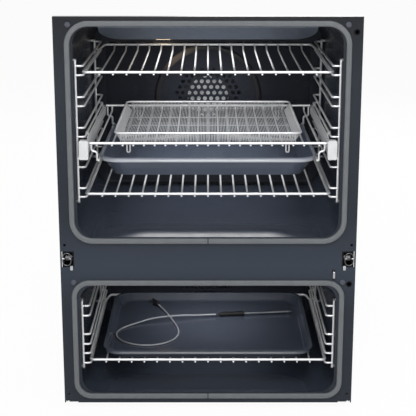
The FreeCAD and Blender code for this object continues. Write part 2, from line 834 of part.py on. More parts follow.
def hinge_roller(setback, low):
    at = (
        "(hinge_width - roller_length) / 2 - hinge_outer",
        f"{setback} + roller_depth", f"{low} + hinge_height / 2")
    body = cylinder("roller_width / 2", "roller_length", at, "x", "roller")
    bore = cylinder("roller_pin / 2 + running_gap", "roller_length", at, "x", "roller_bore")
    return cut(body, [bore], "hinge_roller")


RECEIVERS = {
    "upper": (BEHIND_FRAME, "(base_gap + hinge_low)", True),
    "lower": (f"({FRONT} + lower_hinge_setback)", "(base_gap + lower_hinge_rise)", False),
}
receivers = []
for oven, (setback, low, tongue) in RECEIVERS.items():
    left_receiver = hinge_receiver(setback, low, tongue)
    receivers += [left_receiver, mirrored(left_receiver)]
    left_roller = piece(f"{oven}_left_hinge_roller", hinge_roller(setback, low))
    piece(f"{oven}_right_hinge_roller", mirrored(left_roller))
piece("hinge_receivers", group(receivers, "hinge_receivers"))

switch_body = box(
    ("switch_width", "switch_depth", "switch_slot"),
    ("switch_reach - switch_width / 2", BEHIND_FRAME, "base_gap + switch_height - switch_slot / 2"),
    "switch_body")
lever_well = box(
    ("lever_width + 2 * lever_gap", "switch_depth - switch_wall", "lever_height + 2 * lever_gap"),
    ("switch_reach - lever_width / 2 - lever_gap", BEHIND_FRAME,
     "base_gap + switch_height - lever_height / 2 - lever_gap"), "lever_well")
piece("door_switch", cut(switch_body, [lever_well], "door_switch"))
lever = box(
    ("lever_width", "lever_reach + lever_tail", "lever_height"),
    ("switch_reach - lever_width / 2", f"{FRONT} - lever_reach",
     "base_gap + switch_height - lever_height / 2"),
    "lever_blank")
piece("door_switch_lever", rounded(
    lever, v.lever_round, lambda edge: edge.BoundBox.YMax < front - v.lever_reach + TOUCH))

sockets = []
for height in ("upper_socket", "lower_socket"):
    at = ("socket_reach", BEHIND_FRAME, f"base_gap + {height}")
    mouth = ("socket_reach", f"{FRONT} - socket_proud", f"base_gap + {height}")
    sockets.append(cut(
        fuse([
            cylinder("socket_width / 2", "socket_proud + frame_sheet + socket_depth / 2", mouth),
            cylinder("socket_shoulder / 2", "socket_depth", at)]),
        [cylinder("socket_bore / 2", "socket_bore_depth", mouth)]))
piece("probe_sockets", group(sockets, "probe_sockets"))


# Fan covers: a pressed tray over the back wall, with a raised disc and punched holes in front of the fan.
def punched_holes(height):
    holes = []
    rows = len(PUNCHED_ROWS)
    for row in range(1 - rows, rows):
        count = PUNCHED_ROWS[abs(row)]
        for number in range(count):
            across = (number - (count - 1) / 2) * v.punch_pitch
            at = Vector(across, front + v.cover_depth - v.boss_rise * 2, height + row * v.punch_row)
            holes.append(Part.makeCylinder(v.punch_width / 2, v.boss_rise * 4, at, Vector(0, 1, 0)))
    return Part.makeCompound(holes)


def fan_cover(oven):
    boss_radius = f"({oven}_ring_radius + boss_margin)"
    groove_radius = f"({boss_radius} - groove_inset)"
    low = f"base_gap + {oven}_cover_low"
    tall = f"{oven}_cover_height"
    height = f"base_gap + {oven}_fan_height"
    deep = "(liner_depth - seat_gap - cover_depth)"
    tray = box(
        ("cover_width", deep, tall), ("-cover_width / 2", f"{FRONT} + cover_depth", low), "cover_blank")
    boss = cylinder(
        boss_radius, "boss_rise", ("0", f"{FRONT} + cover_depth - boss_rise", height), "y", "boss")
    hollow = box(
        ("cover_width - 2 * cover_sheet", deep, f"{tall} - 2 * cover_sheet"),
        ("cover_sheet - cover_width / 2", f"{FRONT} + cover_depth + cover_sheet", f"{low} + cover_sheet"),
        "cover_hollow")
    dish = cylinder(
        f"{boss_radius} - cover_sheet * 2", "boss_rise * 2",
        ("0", f"{FRONT} + cover_depth - boss_rise + cover_sheet", height), "y", "dish")
    groove_at = ("0", f"{FRONT} + cover_depth - boss_rise * 2", height)
    groove = cut(
        cylinder(groove_radius, "boss_rise + cover_sheet / 3", groove_at),
        [cylinder(f"{groove_radius} - cover_sheet", "boss_rise * 2", groove_at)], "ring_groove")
    fan_height = v.base_gap + getattr(v, f"{oven}_fan_height")
    holes = solid(punched_holes(fan_height), "punched_holes")
    pressed = cut(fuse([tray, boss]), [hollow, dish, groove])
    return cut(pressed, [holes], f"{oven}_fan_cover")


for oven in OVENS:
    piece(f"{oven}_fan_cover", fan_cover(oven))


# Fans on their shafts, fan motors, heating elements, lamps and sensors.
def bladed_wheel(height, start, width, hub, radius, blades, thickness, lean):
    """A hub with flat blades set round it; the wheel's axis runs front to back."""
    axis = Vector(0, 1, 0)
    centre = Vector(0, start, height)
    parts = [Part.makeCylinder(hub, width, centre, axis)]
    for number in range(blades):
        root = Vector(-thickness / 2, start, height + hub / 2)
        blade = Part.makeBox(thickness, width, radius - hub / 2, root)
        blade.rotate(centre + Vector(0, 0, hub), axis, lean)
        blade.rotate(centre, axis, 360 * number / blades)
        parts.append(blade)
    return parts


for oven in OVENS:
    height = v.base_gap + getattr(v, f"{oven}_fan_height")
    start = front + v.fan_start
    shaft_end = liner_back + v.liner_sheet + v.seat_gap + v.shaft_tail
    wheel = bladed_wheel(
        height, start, v.fan_width, v.fan_hub, v.fan_radius, int(v.fan_blades), v.blade_sheet, v.fan_lean)
    along_shaft = Vector(0, 1, 0)
    wheel.append(Part.makeCylinder(v.shaft_radius, shaft_end - start, Vector(0, start, height), along_shaft))
    wheel.append(Part.makeCylinder(
        v.fan_disc, v.blade_sheet, Vector(0, start + v.fan_width - v.blade_sheet, height), along_shaft))
    piece(f"{oven}_fan", solid(welded(wheel), f"{oven}_fan"))
    motor_at = ("0", f"{LINER_BACK} + liner_sheet", f"base_gap + {oven}_fan_height")
    piece(f"{oven}_fan_motor", cut(
        cylinder("motor_radius", "motor_length", motor_at, "y", "motor"),
        [cylinder("shaft_radius + running_gap", "shaft_tail + shaft_play", motor_at, "y", "motor_bore")],
        f"{oven}_fan_motor"))

    ring = doc.addObject("Part::Torus", "ring")
    ring.setExpression("Radius1", link(f"{oven}_ring_radius"))
    ring.setExpression("Radius2", link("element_width / 2"))
    ring.Placement = FreeCAD.Placement(Vector(), AXIS_TURNS["y"])
    place(ring, ("0", f"{FRONT} + ring_depth", f"base_gap + {oven}_fan_height"))
    tails = [cylinder(
        "element_width / 2", "liner_depth - seat_gap - ring_depth",
        (f"{side}{oven}_ring_radius", f"{FRONT} + ring_depth", f"base_gap + {oven}_fan_height"))
        for side in ("", "-")]
    piece(f"{oven}_ring_element", fuse([ring] + tails, f"{oven}_ring_element"))


def grill_element(height, drop):
    """A tube bent to and fro under the ceiling, its two tails at the back wall; the ceiling falls by drop."""
    near = v.grill_front
    far = v.liner_depth - v.grill_front - v.grill_bend
    tail = v.liner_depth - v.seat_gap
    half = v.grill_half
    step = v.grill_step
    plan = [
        (half - 2 * step, tail), (half - 2 * step, near + step / 2), (half - step, near + step / 2),
        (half - step, far), (half, far), (half, near),
    ]
    plan += [(-across, depth) for across, depth in reversed(plan)]
    fall = drop / v.liner_depth
    points = [(across, front + depth, height - fall * depth) for across, depth in plan]
    return bent_wire(points, v.element_width, v.grill_bend)


for oven, (sill, height, drop) in OVENS.items():
    ceiling = v.base_gap + getattr(v, sill) + getattr(v, height) + v.ceiling_gap
    fall = v.ceiling_drop if oven == "upper" else 0
    piece(f"{oven}_grill_element", solid(grill_element(ceiling - v.grill_gap, fall), f"{oven}_grill_element"))

DEFLECTOR_TOP = "(base_gap + upper_sill + upper_opening)"
deflector_depth = (f"{FRONT} + deflector_front", f"{FRONT} + deflector_front + deflector_depth")
deflector_slab = wedge(
    "deflector_width / 2", "deflector_width / 2", deflector_depth,
    f"{DEFLECTOR_TOP} - deflector_sheet", DEFLECTOR_TOP,
    f"{DEFLECTOR_TOP} - deflector_drop - deflector_sheet", f"{DEFLECTOR_TOP} - deflector_drop",
    "deflector_slab")
deflector_plan = box(
    ("deflector_width", "deflector_depth", "deflector_drop * 3"),
    ("-deflector_width / 2", deflector_depth[0], f"{DEFLECTOR_TOP} - deflector_drop * 2"), "deflector_plan")
deflector_back = front + v.deflector_front + v.deflector_depth
grill_deflector = doc.addObject("Part::Common", "grill_deflector")
grill_deflector.Base = deflector_slab
grill_deflector.Tool = rounded(
    deflector_plan, v.deflector_corner,
    lambda edge: edge.BoundBox.YMin > deflector_back - TOUCH and edge.BoundBox.XLength < TOUCH)
piece("grill_deflector", grill_deflector)

lenses = []
holders = []
sensors = []
for oven in OVENS:
    low = f"base_gap + {oven}_lamp_low"
    lens = box(
        ("lamp_width", "lamp_rise", "lamp_height"),
        ("-lamp_reach - lamp_width / 2", f"{LINER_BACK} - lamp_rise", low), "lens_blank")
    lens = rounded(lens, v.lamp_corner, runs_back)
    lenses.append(rounded(
        lens, v.lamp_round, lambda edge: edge.BoundBox.YMax < liner_back - v.lamp_rise + TOUCH))
    holders.append(box(
        ("lamp_width - 2 * lamp_corner - 2 * seat_gap", "lamp_body",
         "lamp_height - lamp_corner - 2 * seat_gap"),
        ("lamp_corner + seat_gap - lamp_reach - lamp_width / 2", LINER_BACK,
         f"{low} + lamp_corner / 2 + seat_gap"), "lamp_holder"))
    sensors.append(cylinder(
        "sensor_width / 2", "sensor_length - seat_gap",
        ("sensor_reach", f"{LINER_BACK} - sensor_length", f"{low} + lamp_height / 2")))
piece("lamp_lenses", group(lenses, "lamp_lenses"))
piece("lamp_holders", group(holders, "lamp_holders"))
piece("temperature_sensors", group(sensors, "temperature_sensors"))

# Cooling blower and mains terminal box behind the cavities.
blower_back = f"({REAR} - casing_sheet)"
BLOWER_HEIGHT = "base_gap + blower_height"
blower_front = f"{blower_back} - blower_depth"
piece("blower_housing", cut(
    cylinder("blower_radius", "blower_depth", ("0", blower_front, BLOWER_HEIGHT), "y", "blower"),
    [
        cylinder(
            "blower_radius - blower_sheet", "blower_depth - 2 * blower_sheet",
            ("0", f"{blower_front} + blower_sheet", BLOWER_HEIGHT), "y", "blower_hollow"),
        cylinder("blower_inlet", "blower_depth / 2", ("0", f"{blower_front} - blower_sheet", BLOWER_HEIGHT)),
    ], "blower_housing"))
rotor_height = v.base_gap + v.blower_height
rotor_back = v.casing_depth / 2 - v.casing_sheet - v.blower_sheet - v.seat_gap
rotor = bladed_wheel(
    rotor_height, rotor_back - v.rotor_width, v.rotor_width, v.rotor_hub, v.rotor_radius,
    int(v.rotor_blades), v.blade_sheet, -v.rotor_lean)
rotor.append(Part.makeCylinder(
    v.rotor_radius, v.blade_sheet, Vector(0, rotor_back - v.rotor_width / 2, rotor_height), Vector(0, 1, 0)))
piece("blower_rotor", solid(welded(rotor), "blower_rotor"))

terminal_low = "base_gap + terminal_height"
terminal_case = box(
    ("terminal_width", "terminal_depth", "terminal_tall"),
    ("-terminal_reach - terminal_width / 2", f"{REAR} - casing_sheet - terminal_depth", terminal_low),
    "terminal_case")
gland_at = (
    "-terminal_reach", f"{REAR} - casing_sheet - terminal_depth / 2", f"{terminal_low} + terminal_tall / 2")
gland_length = "terminal_depth / 2 + casing_sheet + gland_rise"
gland = cylinder("gland_radius - seat_gap", gland_length, gland_at, "y", "gland")
gland_bore = cylinder("gland_radius / 2", gland_length, gland_at, "y", "gland_bore")
piece("terminal_box", cut(fuse([terminal_case, gland]), [gland_bore], "terminal_box"))


# Side racks: hooked into the cavity's side walls.
def rack(low, levels, pair_gap):
    """The left rack. Its rails run in from the front upright, straight back, and out to the rear upright."""
    wall = v.seat_gap - liner_half
    wires = []
    for depth, hook, margin in (
        (v.rack_front, v.rack_hook, v.rack_margin), (v.rack_back, -v.rack_hook, v.rack_rear_margin)):
        y = front + depth
        low_end = v.base_gap + low - margin
        high_end = v.base_gap + low + levels[-1] + pair_gap + margin
        wires.append(bent_wire([
            (wall, y + hook, low_end), (-v.rack_reach, y + hook, low_end), (-v.rack_reach, y, low_end),
            (-v.rack_reach, y, high_end), (-v.rack_reach, y + hook, high_end), (wall, y + hook, high_end),
        ], v.rack_upright, v.rack_hook_bend))
    for level in levels:
        for height in (level, level + pair_gap):
            z = v.base_gap + low + height
            wires.append(bent_wire([
                (-v.rack_reach, front + v.rack_front, z), (-v.rack_rail, front + v.rack_front, z),
                (-v.rack_rail, front + v.rack_back, z), (-v.rack_reach, front + v.rack_back, z),
            ], v.rack_wire, v.rack_bend))
    return welded(wires)


upper_levels = [v.upper_level_pitch * number for number in range(int(v.upper_level_count))]
lower_levels = [0, v.lower_top_level - v.lower_level_step, v.lower_top_level]
upper_rack = rack(v.upper_rail_low, upper_levels, v.upper_pair_gap)
left_rack = piece("upper_left_rack", solid(upper_rack, "upper_left_rack"))
piece("upper_right_rack", mirrored(left_rack))
lower_rack = rack(v.lower_rail_low, lower_levels, v.lower_pair_gap)
left_rack = piece("lower_left_rack", solid(lower_rack, "lower_left_rack"))
piece("lower_right_rack", mirrored(left_rack))


# Wire shelves: a thick wire frame, raised at the back, with thin wires welded under its front bar.
def shelf_bar_height(rail):
    """The height of a shelf's frame when its sides rest on a rail."""
    return v.base_gap + rail + v.rack_wire / 2 + v.seat_gap + v.shelf_bar / 2


def under_bar(bar_height):
    """The height of a thin wire welded to the underside of a thick one."""
    return bar_height - v.shelf_bar / 2 - v.shelf_wire / 2 + v.weld_depth


def cross_wires(count, pitch, bar_height, front_depth, back_depth, rise, kink_run, bend):
    """Thin wires from under the front bar, kinked up to the back bar."""
    low = under_bar(bar_height)
    kink = front + back_depth - kink_run
    wires = []
    for number in range(count):
        x = (number - (count - 1) / 2) * pitch
        wires.append(bent_wire([
            (x, front + front_depth - v.shelf_bar / 2, low), (x, kink, low),
            (x, front + back_depth, bar_height + rise - v.weld_depth),
        ], v.shelf_wire, bend))
    return wires


def wire_shelf(rail):
    z = shelf_bar_height(rail)
    near = front + v.shelf_front
    far = front + v.shelf_back
    kink = far - v.shelf_kink
    half = v.shelf_half
    tucked = half - v.shelf_tuck
    frame = bent_wire([
        (-half, near, z), (-half, kink, z), (-tucked, far, z + v.shelf_rise),
        (tucked, far, z + v.shelf_rise), (half, kink, z), (half, near, z),
    ], v.shelf_bar, v.shelf_bend, closed=True)
    count = int(v.shelf_wire_count)
    return welded([frame] + cross_wires(
        count, v.shelf_pitch, z, v.shelf_front, v.shelf_back, v.shelf_rise, v.shelf_kink, v.shelf_bend))


piece("top_shelf", solid(wire_shelf(v.upper_rail_low + upper_levels[-1]), "top_shelf"))
piece("bottom_shelf", solid(wire_shelf(v.upper_rail_low), "bottom_shelf"))
piece("lower_shelf", solid(wire_shelf(v.lower_rail_low), "lower_shelf"))

# Telescopic runners on the middle level: a channel clipped to the rail, a middle member and the slide.
RUNNER_LOW = "(base_gap + runner_top - runner_height)"
RUNNER_MIDDLE = f"({RUNNER_LOW} + runner_height / 2)"
RUNNER_LENGTH = "(runner_end - runner_start)"
FLANGE_REACH = "(web_outer - slide_outer - runner_play)"
runner_y = f"{FRONT} + runner_start"
channel = [
    box(("runner_web", RUNNER_LENGTH, "runner_height"), ("-web_outer", runner_y, RUNNER_LOW), "channel_web"),
    box((FLANGE_REACH, RUNNER_LENGTH, "runner_web"), ("-web_outer", runner_y, RUNNER_LOW), "channel_low"),
    box(
        (FLANGE_REACH, RUNNER_LENGTH, "runner_web"),
        ("-web_outer", runner_y, f"{RUNNER_LOW} + runner_height - runner_web"), "channel_high"),
]
for clip_y in (f"{runner_y} + clip_length", f"{FRONT} + runner_end - 2 * clip_length"):
    clip_low = f"({RUNNER_LOW} + runner_height - runner_web)"
    clip_top = "(base_gap + runner_rail + rack_wire / 2 + seat_gap)"
    channel.append(box(
        ("runner_web", "clip_length", f"{clip_top} + clip_sheet - {clip_low}"),
        ("-web_outer", clip_y, clip_low), "clip_stem"))
    channel.append(box(
        ("rack_wire + runner_web + seat_gap", "clip_length", "clip_sheet"),
        ("-web_outer - rack_wire - seat_gap", clip_y, clip_top), "clip_hook"))
left_channel = piece("left_runner_rail", fuse(channel, "left_runner_rail"))
piece("right_runner_rail", mirrored(left_channel))

left_cage = piece("left_runner_middle", box(
    ("cage_sheet", RUNNER_LENGTH, "cage_height"),
    ("runner_play - web_inner", runner_y, f"{RUNNER_MIDDLE} - cage_height / 2"), "runner_middle"))
piece("right_runner_middle", mirrored(left_cage))

end_block = box(
    ("end_block_width", "end_block_depth", "end_block_height"),
    ("-runner_inner - end_block_width", f"{FRONT} + end_block_front",
     "base_gap + runner_top - end_block_height"),
    "end_block_blank")
slide_bar = box(
    ("slide_sheet", "runner_end - end_block_front - end_block_depth / 2", "slide_height"),
    ("-slide_outer", f"{FRONT} + end_block_front + end_block_depth / 2",
     f"{RUNNER_MIDDLE} - slide_height / 2"),
    "slide_bar")
left_slide = piece("left_runner_slide", fuse([
    rounded(end_block, v.end_block_round, runs_back), slide_bar], "left_runner_slide"))
piece("right_runner_slide", mirrored(left_slide))


# Basket carrier: a wire shelf between the slides, with bent hooks that hold two rails for the deep pan.
def basket_carrier():
    z = v.base_gap + v.carrier_height
    near = front + v.carrier_front
    far = front + v.carrier_back
    reach = v.runner_inner - v.seat_gap
    wires = [
        bent_wire([(-reach, near, z), (reach, near, z)], v.shelf_bar, 0),
        bent_wire([(-reach, far, z + v.carrier_rise), (reach, far, z + v.carrier_rise)], v.shelf_bar, 0),
    ]
    count = int(v.carrier_wire_count)
    for wire_count, pitch in ((count, v.carrier_pitch), (2, 2 * v.hook_bottom)):
        wires += cross_wires(
            wire_count, pitch, z, v.carrier_front, v.carrier_back, v.carrier_rise,
            v.carrier_kink, v.carrier_bend)
    rail_z = v.base_gap + v.pan_rail_height
    step_z = v.base_gap + v.hook_step
    for side in (-1, 1):
        for y, bar_z in ((near, z), (far, z + v.carrier_rise)):
            wires.append(bent_wire([
                (side * v.hook_top, y, bar_z), (side * v.hook_top, y, step_z),
                (side * v.hook_bottom, y, step_z), (side * v.hook_bottom, y, rail_z - v.weld_depth),
            ], v.rack_wire, v.hook_bend))
        rail_end = v.rack_wire / 2
        wires.append(bent_wire(
            [(side * v.pan_rail, near - rail_end, rail_z), (side * v.pan_rail, far + rail_end, rail_z)],
            v.rack_wire, 0))
    return welded(wires)


piece("basket_carrier", solid(basket_carrier(), "basket_carrier"))


# Wire basket: fine wires bent up at both ends into a rim, cross wires under them, and four wire legs.
def wire_basket():
    carrier_top = under_bar(v.base_gap + v.carrier_height) + v.shelf_wire / 2
    cross_z = carrier_top + v.seat_gap + v.basket_wire / 2
    floor_z = cross_z + v.basket_wire - v.weld_depth
    rim_z = floor_z + v.basket_depth
    near = front + v.basket_front
    far = front + v.basket_back
    half = v.basket_half
    corner = v.basket_corner
    wires = [bent_wire(
        [(-half, near, rim_z), (-half, far, rim_z), (half, far, rim_z), (half, near, rim_z)],
        v.basket_rim, corner, closed=True)]
    count = int(v.basket_wire_count)
    for number in range(count):
        x = (number - (count - 1) / 2) * v.basket_pitch
        wires.append(bent_wire(
            [(x, near, rim_z), (x, near, floor_z), (x, far, floor_z), (x, far, rim_z)],
            v.basket_wire, v.basket_bend))
    crossings = int(v.basket_cross_count)
    for number in range(1, crossings + 1):
        y = near + (far - near) * number / (crossings + 1)
        wires.append(bent_wire(
            [(-half, y, rim_z), (-half, y, cross_z), (half, y, cross_z), (half, y, rim_z)],
            v.basket_wire, v.basket_bend))
    for y in (near + v.leg_inset, far - v.leg_inset):
        for side in (-1, 1):
            inner, outer = (side * v.leg_reach + offset * v.leg_span / 2 for offset in (-1, 1))
            low = floor_z - v.leg_drop
            top = floor_z + v.basket_wire / 2
            wires.append(bent_wire(
                [(inner, y, top), (inner, y, low), (outer, y, low), (outer, y, top)],
                v.leg_wire, v.leg_bend))
    return welded(wires)


piece("wire_basket", solid(wire_basket(), "wire_basket"))

# Deep pan hung on the carrier's rails, and the baking tray on the lower shelf.
pan_rim = v.base_gap + v.pan_rail_height + v.rack_wire / 2 + v.seat_gap + v.pan_sheet
piece("deep_pan", solid(drawn_pan(
    v.pan_half, front + v.pan_front, front + v.pan_back, pan_rim,
    v.pan_depth, v.pan_taper, v.pan_corner, v.pan_sheet, v.pan_flange), "deep_pan"))

tray_floor = under_bar(shelf_bar_height(v.lower_rail_low)) + v.shelf_wire / 2 + v.seat_gap
piece("baking_tray", solid(drawn_pan(
    v.tray_half, front + v.tray_front, front + v.tray_back, tray_floor + v.tray_depth,
    v.tray_depth, v.tray_taper, v.tray_corner, v.pan_sheet, v.tray_flange), "baking_tray"))

# Food probe lying in the tray: plug, lead, handle and needle.
lying = tray_floor + v.pan_sheet


def along(start, direction, distance):
    return start + direction * distance


handle_axis = Vector(math.cos(math.radians(v.handle_turn)), math.sin(math.radians(v.handle_turn)), 0)
handle_start = Vector(v.handle_start, front + v.handle_depth, lying + v.handle_width / 2 + v.seat_gap)
handle_end = along(handle_start, handle_axis, v.handle_length)
neck_start = along(handle_start, handle_axis, -v.handle_neck)
handle = Part.makeCylinder(v.handle_width / 2, v.handle_length, handle_start, handle_axis)
handle = handle.makeFillet(v.handle_round, [edge for edge in handle.Edges if len(edge.Vertexes) == 1])
neck = Part.makeCone(v.lead_width / 2 + v.neck_wall, v.neck_width / 2, v.handle_neck, neck_start, handle_axis)
piece("probe_handle", solid(handle.fuse(neck).removeSplitter(), "probe_handle"))

needle_point = along(handle_end, handle_axis, v.needle_length - v.needle_tip)
needle = Part.makeCylinder(v.needle_width / 2, v.needle_length - v.needle_tip, handle_end, handle_axis)
needle_tip = Part.makeCone(v.needle_width / 2, v.needle_point / 2, v.needle_tip, needle_point, handle_axis)
piece("probe_needle", solid(needle.fuse(needle_tip).removeSplitter(), "probe_needle"))

route = [Vector(x, front + depth, lying + lift) for x, depth, lift in LEAD_ROUTE] + [neck_start]
turns = [(route[i] - route[i - 1]).getAngle(route[i + 1] - route[i]) for i in range(1, len(route) - 1)]
runs = [(route[i + 1] - route[i]).Length for i in range(len(route) - 1)]
radii = [0.0] + [
    BEND_SHARE * min(runs[i], runs[i + 1]) / math.tan(turns[i] / 2) for i in range(len(turns))
] + [0.0]
lead_path = bent_path(route, radii)
lead_section = Part.Wire(Part.Circle(route[0], route[1] - route[0], v.lead_width / 2).toShape())
lead = lead_path.makePipeShell([lead_section], True, False)
lead_length = lead_path.Length
print("probe lead: length %.1f mm, least radius %.1f mm, volume over section times length %.4f" % (
    lead_length, min(radii[1:-1]), lead.Volume / (math.pi * v.lead_width ** 2 / 4 * lead_length)))
piece("probe_lead", solid(lead, "probe_lead"))

plug_axis = (route[0] - route[1]).normalize()
plug = Part.makeCylinder(v.plug_width / 2, v.plug_length, route[0], plug_axis)
jack_start = along(route[0], plug_axis, v.plug_length)
jack = Part.makeCylinder(v.jack_width / 2, v.jack_length, jack_start, plug_axis)
piece("probe_plug", solid(plug.fuse(jack).removeSplitter(), "probe_plug"))

# Every piece has to be sound before any file is written.
doc.recompute()
for obj in doc.Objects:
    if {"Invalid", "Error"} & set(obj.State):
        raise RuntimeError(f"{obj.Label} failed: {obj.State}")
for label, obj in pieces.items():
    if obj.Shape.isNull() or not obj.Shape.isValid() or not obj.Shape.Solids:
        raise RuntimeError(f"{label} has no sound solid")
os.makedirs("parts", exist_ok=True)
for label, obj in pieces.items():
    obj.Shape.exportStep(f"parts/{label}.step")
print(len(pieces), "pieces written")
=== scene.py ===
"""Looks of a built-in double oven body: enamel, chromed wire, seals, fittings and a food probe."""
import bmesh
import bpy
import math
from mathutils import Matrix, Vector


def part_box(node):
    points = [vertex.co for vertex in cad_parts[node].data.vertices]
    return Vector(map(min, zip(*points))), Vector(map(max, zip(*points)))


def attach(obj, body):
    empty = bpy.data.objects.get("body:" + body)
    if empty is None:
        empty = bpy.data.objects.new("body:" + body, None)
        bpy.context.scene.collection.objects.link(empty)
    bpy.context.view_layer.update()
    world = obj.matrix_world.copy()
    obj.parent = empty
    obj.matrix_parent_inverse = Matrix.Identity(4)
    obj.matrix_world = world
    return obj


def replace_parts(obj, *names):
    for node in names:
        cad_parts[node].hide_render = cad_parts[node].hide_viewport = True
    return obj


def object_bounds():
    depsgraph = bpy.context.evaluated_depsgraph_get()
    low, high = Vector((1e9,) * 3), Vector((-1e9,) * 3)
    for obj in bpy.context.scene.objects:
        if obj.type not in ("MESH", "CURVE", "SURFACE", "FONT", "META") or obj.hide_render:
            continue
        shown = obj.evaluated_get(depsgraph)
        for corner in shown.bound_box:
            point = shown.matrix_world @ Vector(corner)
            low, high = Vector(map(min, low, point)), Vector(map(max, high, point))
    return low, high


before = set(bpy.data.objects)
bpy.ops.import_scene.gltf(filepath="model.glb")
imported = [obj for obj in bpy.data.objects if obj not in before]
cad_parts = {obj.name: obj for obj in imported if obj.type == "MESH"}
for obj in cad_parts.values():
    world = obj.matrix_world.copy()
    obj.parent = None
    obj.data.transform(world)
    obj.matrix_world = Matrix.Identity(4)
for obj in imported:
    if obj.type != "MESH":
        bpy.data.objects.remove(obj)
cad_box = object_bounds()


# Front frame: one pressed steel sheet with two openings, screwed to the casing, in dark blue-grey
# vitreous enamel. Its colour carries painted light, paler on the bar between the openings, and painted
# shade, darker towards the top, and the enamel keeps a faint ripple from firing.
class Socket:
    """A shader socket that takes part in sums: each operator adds a Math node to its tree."""

    def __init__(self, link):
        self.link = link

    def node(self, kind, inputs, output=0, **settings):
        """Another node of the same tree: its settings first, then the values or links of its sockets."""
        tree = self.link.id_data
        made = tree.nodes.new("ShaderNode" + kind)
        for name, value in settings.items():
            setattr(made, name, value)
        for name, value in inputs.items():
            if isinstance(value, Socket):
                tree.links.new(value.link, made.inputs[name])
            else:
                made.inputs[name].default_value = value
        return Socket(made.outputs[output]) if made.outputs else None

    def maths(self, operation, first, second):
        """The result of one Math node."""
        return self.node("Math", {0: first, 1: second}, operation=operation)

    def __add__(self, other):
        return self.maths("ADD", self, other)

    def __sub__(self, other):
        return self.maths("SUBTRACT", self, other)

    def __rsub__(self, other):
        return self.maths("SUBTRACT", other, self)

    def __mul__(self, other):
        return self.maths("MULTIPLY", self, other)

    def __gt__(self, other):
        return self.maths("GREATER_THAN", self, other)

    def __lt__(self, other):
        return self.maths("LESS_THAN", self, other)

    __radd__ = __add__
    __rmul__ = __mul__

    def clamp(self):
        """This value, kept between 0 and 1."""
        return self.node("Clamp", {"Value": self})

    def between(self, low, high):
        """A colour that goes from low to high as this value goes from 0 to 1."""
        return self.node("Mix", {0: self, 6: low, 7: high}, 2, data_type="RGBA")

    def noise(self, scale, detail=2, roughness=0.5):
        """Cloudy noise about 0.5 at these coordinates, in features per metre."""
        return self.node("TexNoise", {"Vector": self, "Scale": scale, "Detail": detail,
                                      "Roughness": roughness})

    def along(self, axis):
        """One of these coordinates, in metres."""
        return self.node("SeparateXYZ", {"Vector": self}, "XYZ".index(axis))

    def cells(self, scale, output=0):
        """Distance to the nearest of scattered points, or as output 1 a colour for each point's cell."""
        return self.node("TexVoronoi", {"Vector": self, "Scale": scale}, output, feature="F1")

    def relief(self, depth):
        """A normal from this value as a height, in metres from its 0 to its 1."""
        return self.node("Bump", {"Height": self, "Distance": depth, "Strength": 1.0})


def shade(red, green, blue):
    """A display colour, 0 to 255, as the light that a shader works in."""
    parts = [part / 255 for part in (red, green, blue)]
    return tuple(p / 12.92 if p <= 0.04045 else ((p + 0.055) / 1.055) ** 2.4 for p in parts) + (1.0,)


class Finish:
    """A material with one Principled shader: plain sockets are set here, what varies is fed later."""

    def __init__(self, name, **plain):
        self.material = bpy.data.materials.new(name)
        self.material.use_nodes = True
        self.tree = self.material.node_tree
        self.shader = self.tree.nodes["Principled BSDF"]
        for socket, value in plain.items():
            self.shader.inputs[socket.replace("_", " ").title().replace("Ior", "IOR")].default_value = value
        self.place = Socket(self.tree.nodes.new("ShaderNodeTexCoord").outputs["Object"])

    def feed(self, **varying):
        """Links what varies to the shader, and gives the finished material."""
        for socket, value in varying.items():
            self.tree.links.new(value.link, self.shader.inputs[socket.replace("_", " ").title()])
        return self.material


def dress(material, *names):
    """Gives CAD nodes their finish."""
    for name in names:
        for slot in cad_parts[name].material_slots:
            slot.material = material


def enamel(name, colour, fleck, fleck_size, gloss, ripple, skin=0.5, fleck_share=0.5, rim_highlights=(), painted_patches=()):
    """Fired enamel: a clouded ground with small pale flecks under a glassy skin with a slow ripple.

    It has painted highlights in rim bands, given as heights that they lie between. Painted patches of light
    and shade have another tint at their middle x and z, which fades out over their half width and half
    height."""
    coat = Finish(name, specular_ior_level=skin)
    clouding = 0.16
    ground = coat.place.noise(9, 4, 0.6).between(*(
        [part * (1 + sign * clouding) for part in colour[:3]] + [1] for sign in (-1, 1)))
    dots = 1 - coat.place.cells(1 / fleck_size) * 3.2
    speck = (dots * (coat.place.noise(0.61 / fleck_size, 1) > fleck_share)).clamp()
    wave = coat.place.noise(160, 2) * 0.7 + coat.place.noise(900, 1) * 0.3
    tint = speck.between(ground, fleck)
    height = coat.place.along("Z")
    # Patches are painted light and shade.
    for x, z, half_width, half_height, other in painted_patches:
        aside = (coat.place.along("X") - x) * (1 / half_width)
        above = (height - z) * (1 / half_height)
        away = height.maths("SQRT", aside * aside + above * above, 0).clamp()
        tint = away.between(speck.between(other, fleck), tint)
    # Rim bands are painted highlights.
    for low, high, highlight_tint in rim_highlights:
        tint = ((height > low) * (height < high)).between(tint, highlight_tint)
    return coat.feed(
        base_color=tint,
        roughness=coat.place.noise(30, 3) * 0.14 + (gloss - 0.07),
        normal=wave.relief(ripple))


FRAME_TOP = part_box("front_frame")[1].z
FRAME_BAR = 0.293
FULL_WIDTH = 9
# The frame's patches are painted light on the bar between the openings and painted shade towards the top.
frame_enamel = enamel(
    "frame_enamel", shade(33, 38, 46), shade(54, 60, 71), fleck_size=0.0011, fleck_share=0.52,
    gloss=0.32, ripple=0.00006, skin=0.22,
    painted_patches=[(0, FRAME_BAR, FULL_WIDTH, 0.09, shade(45, 52, 63)),
             (0, FRAME_TOP, FULL_WIDTH, 0.12, shade(15, 18, 23))])
dress(frame_enamel, "front_frame")
FRONT_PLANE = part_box("front_frame")[0].y

# Casing: galvanised steel panels and a folded base pan, screwed together at the back. Their zinc has
# large dull crystals and fine rolling lines, and their front edges behind the frame are black, as painted
# shade.
FRONT_SHADE_DEPTH = 0.02


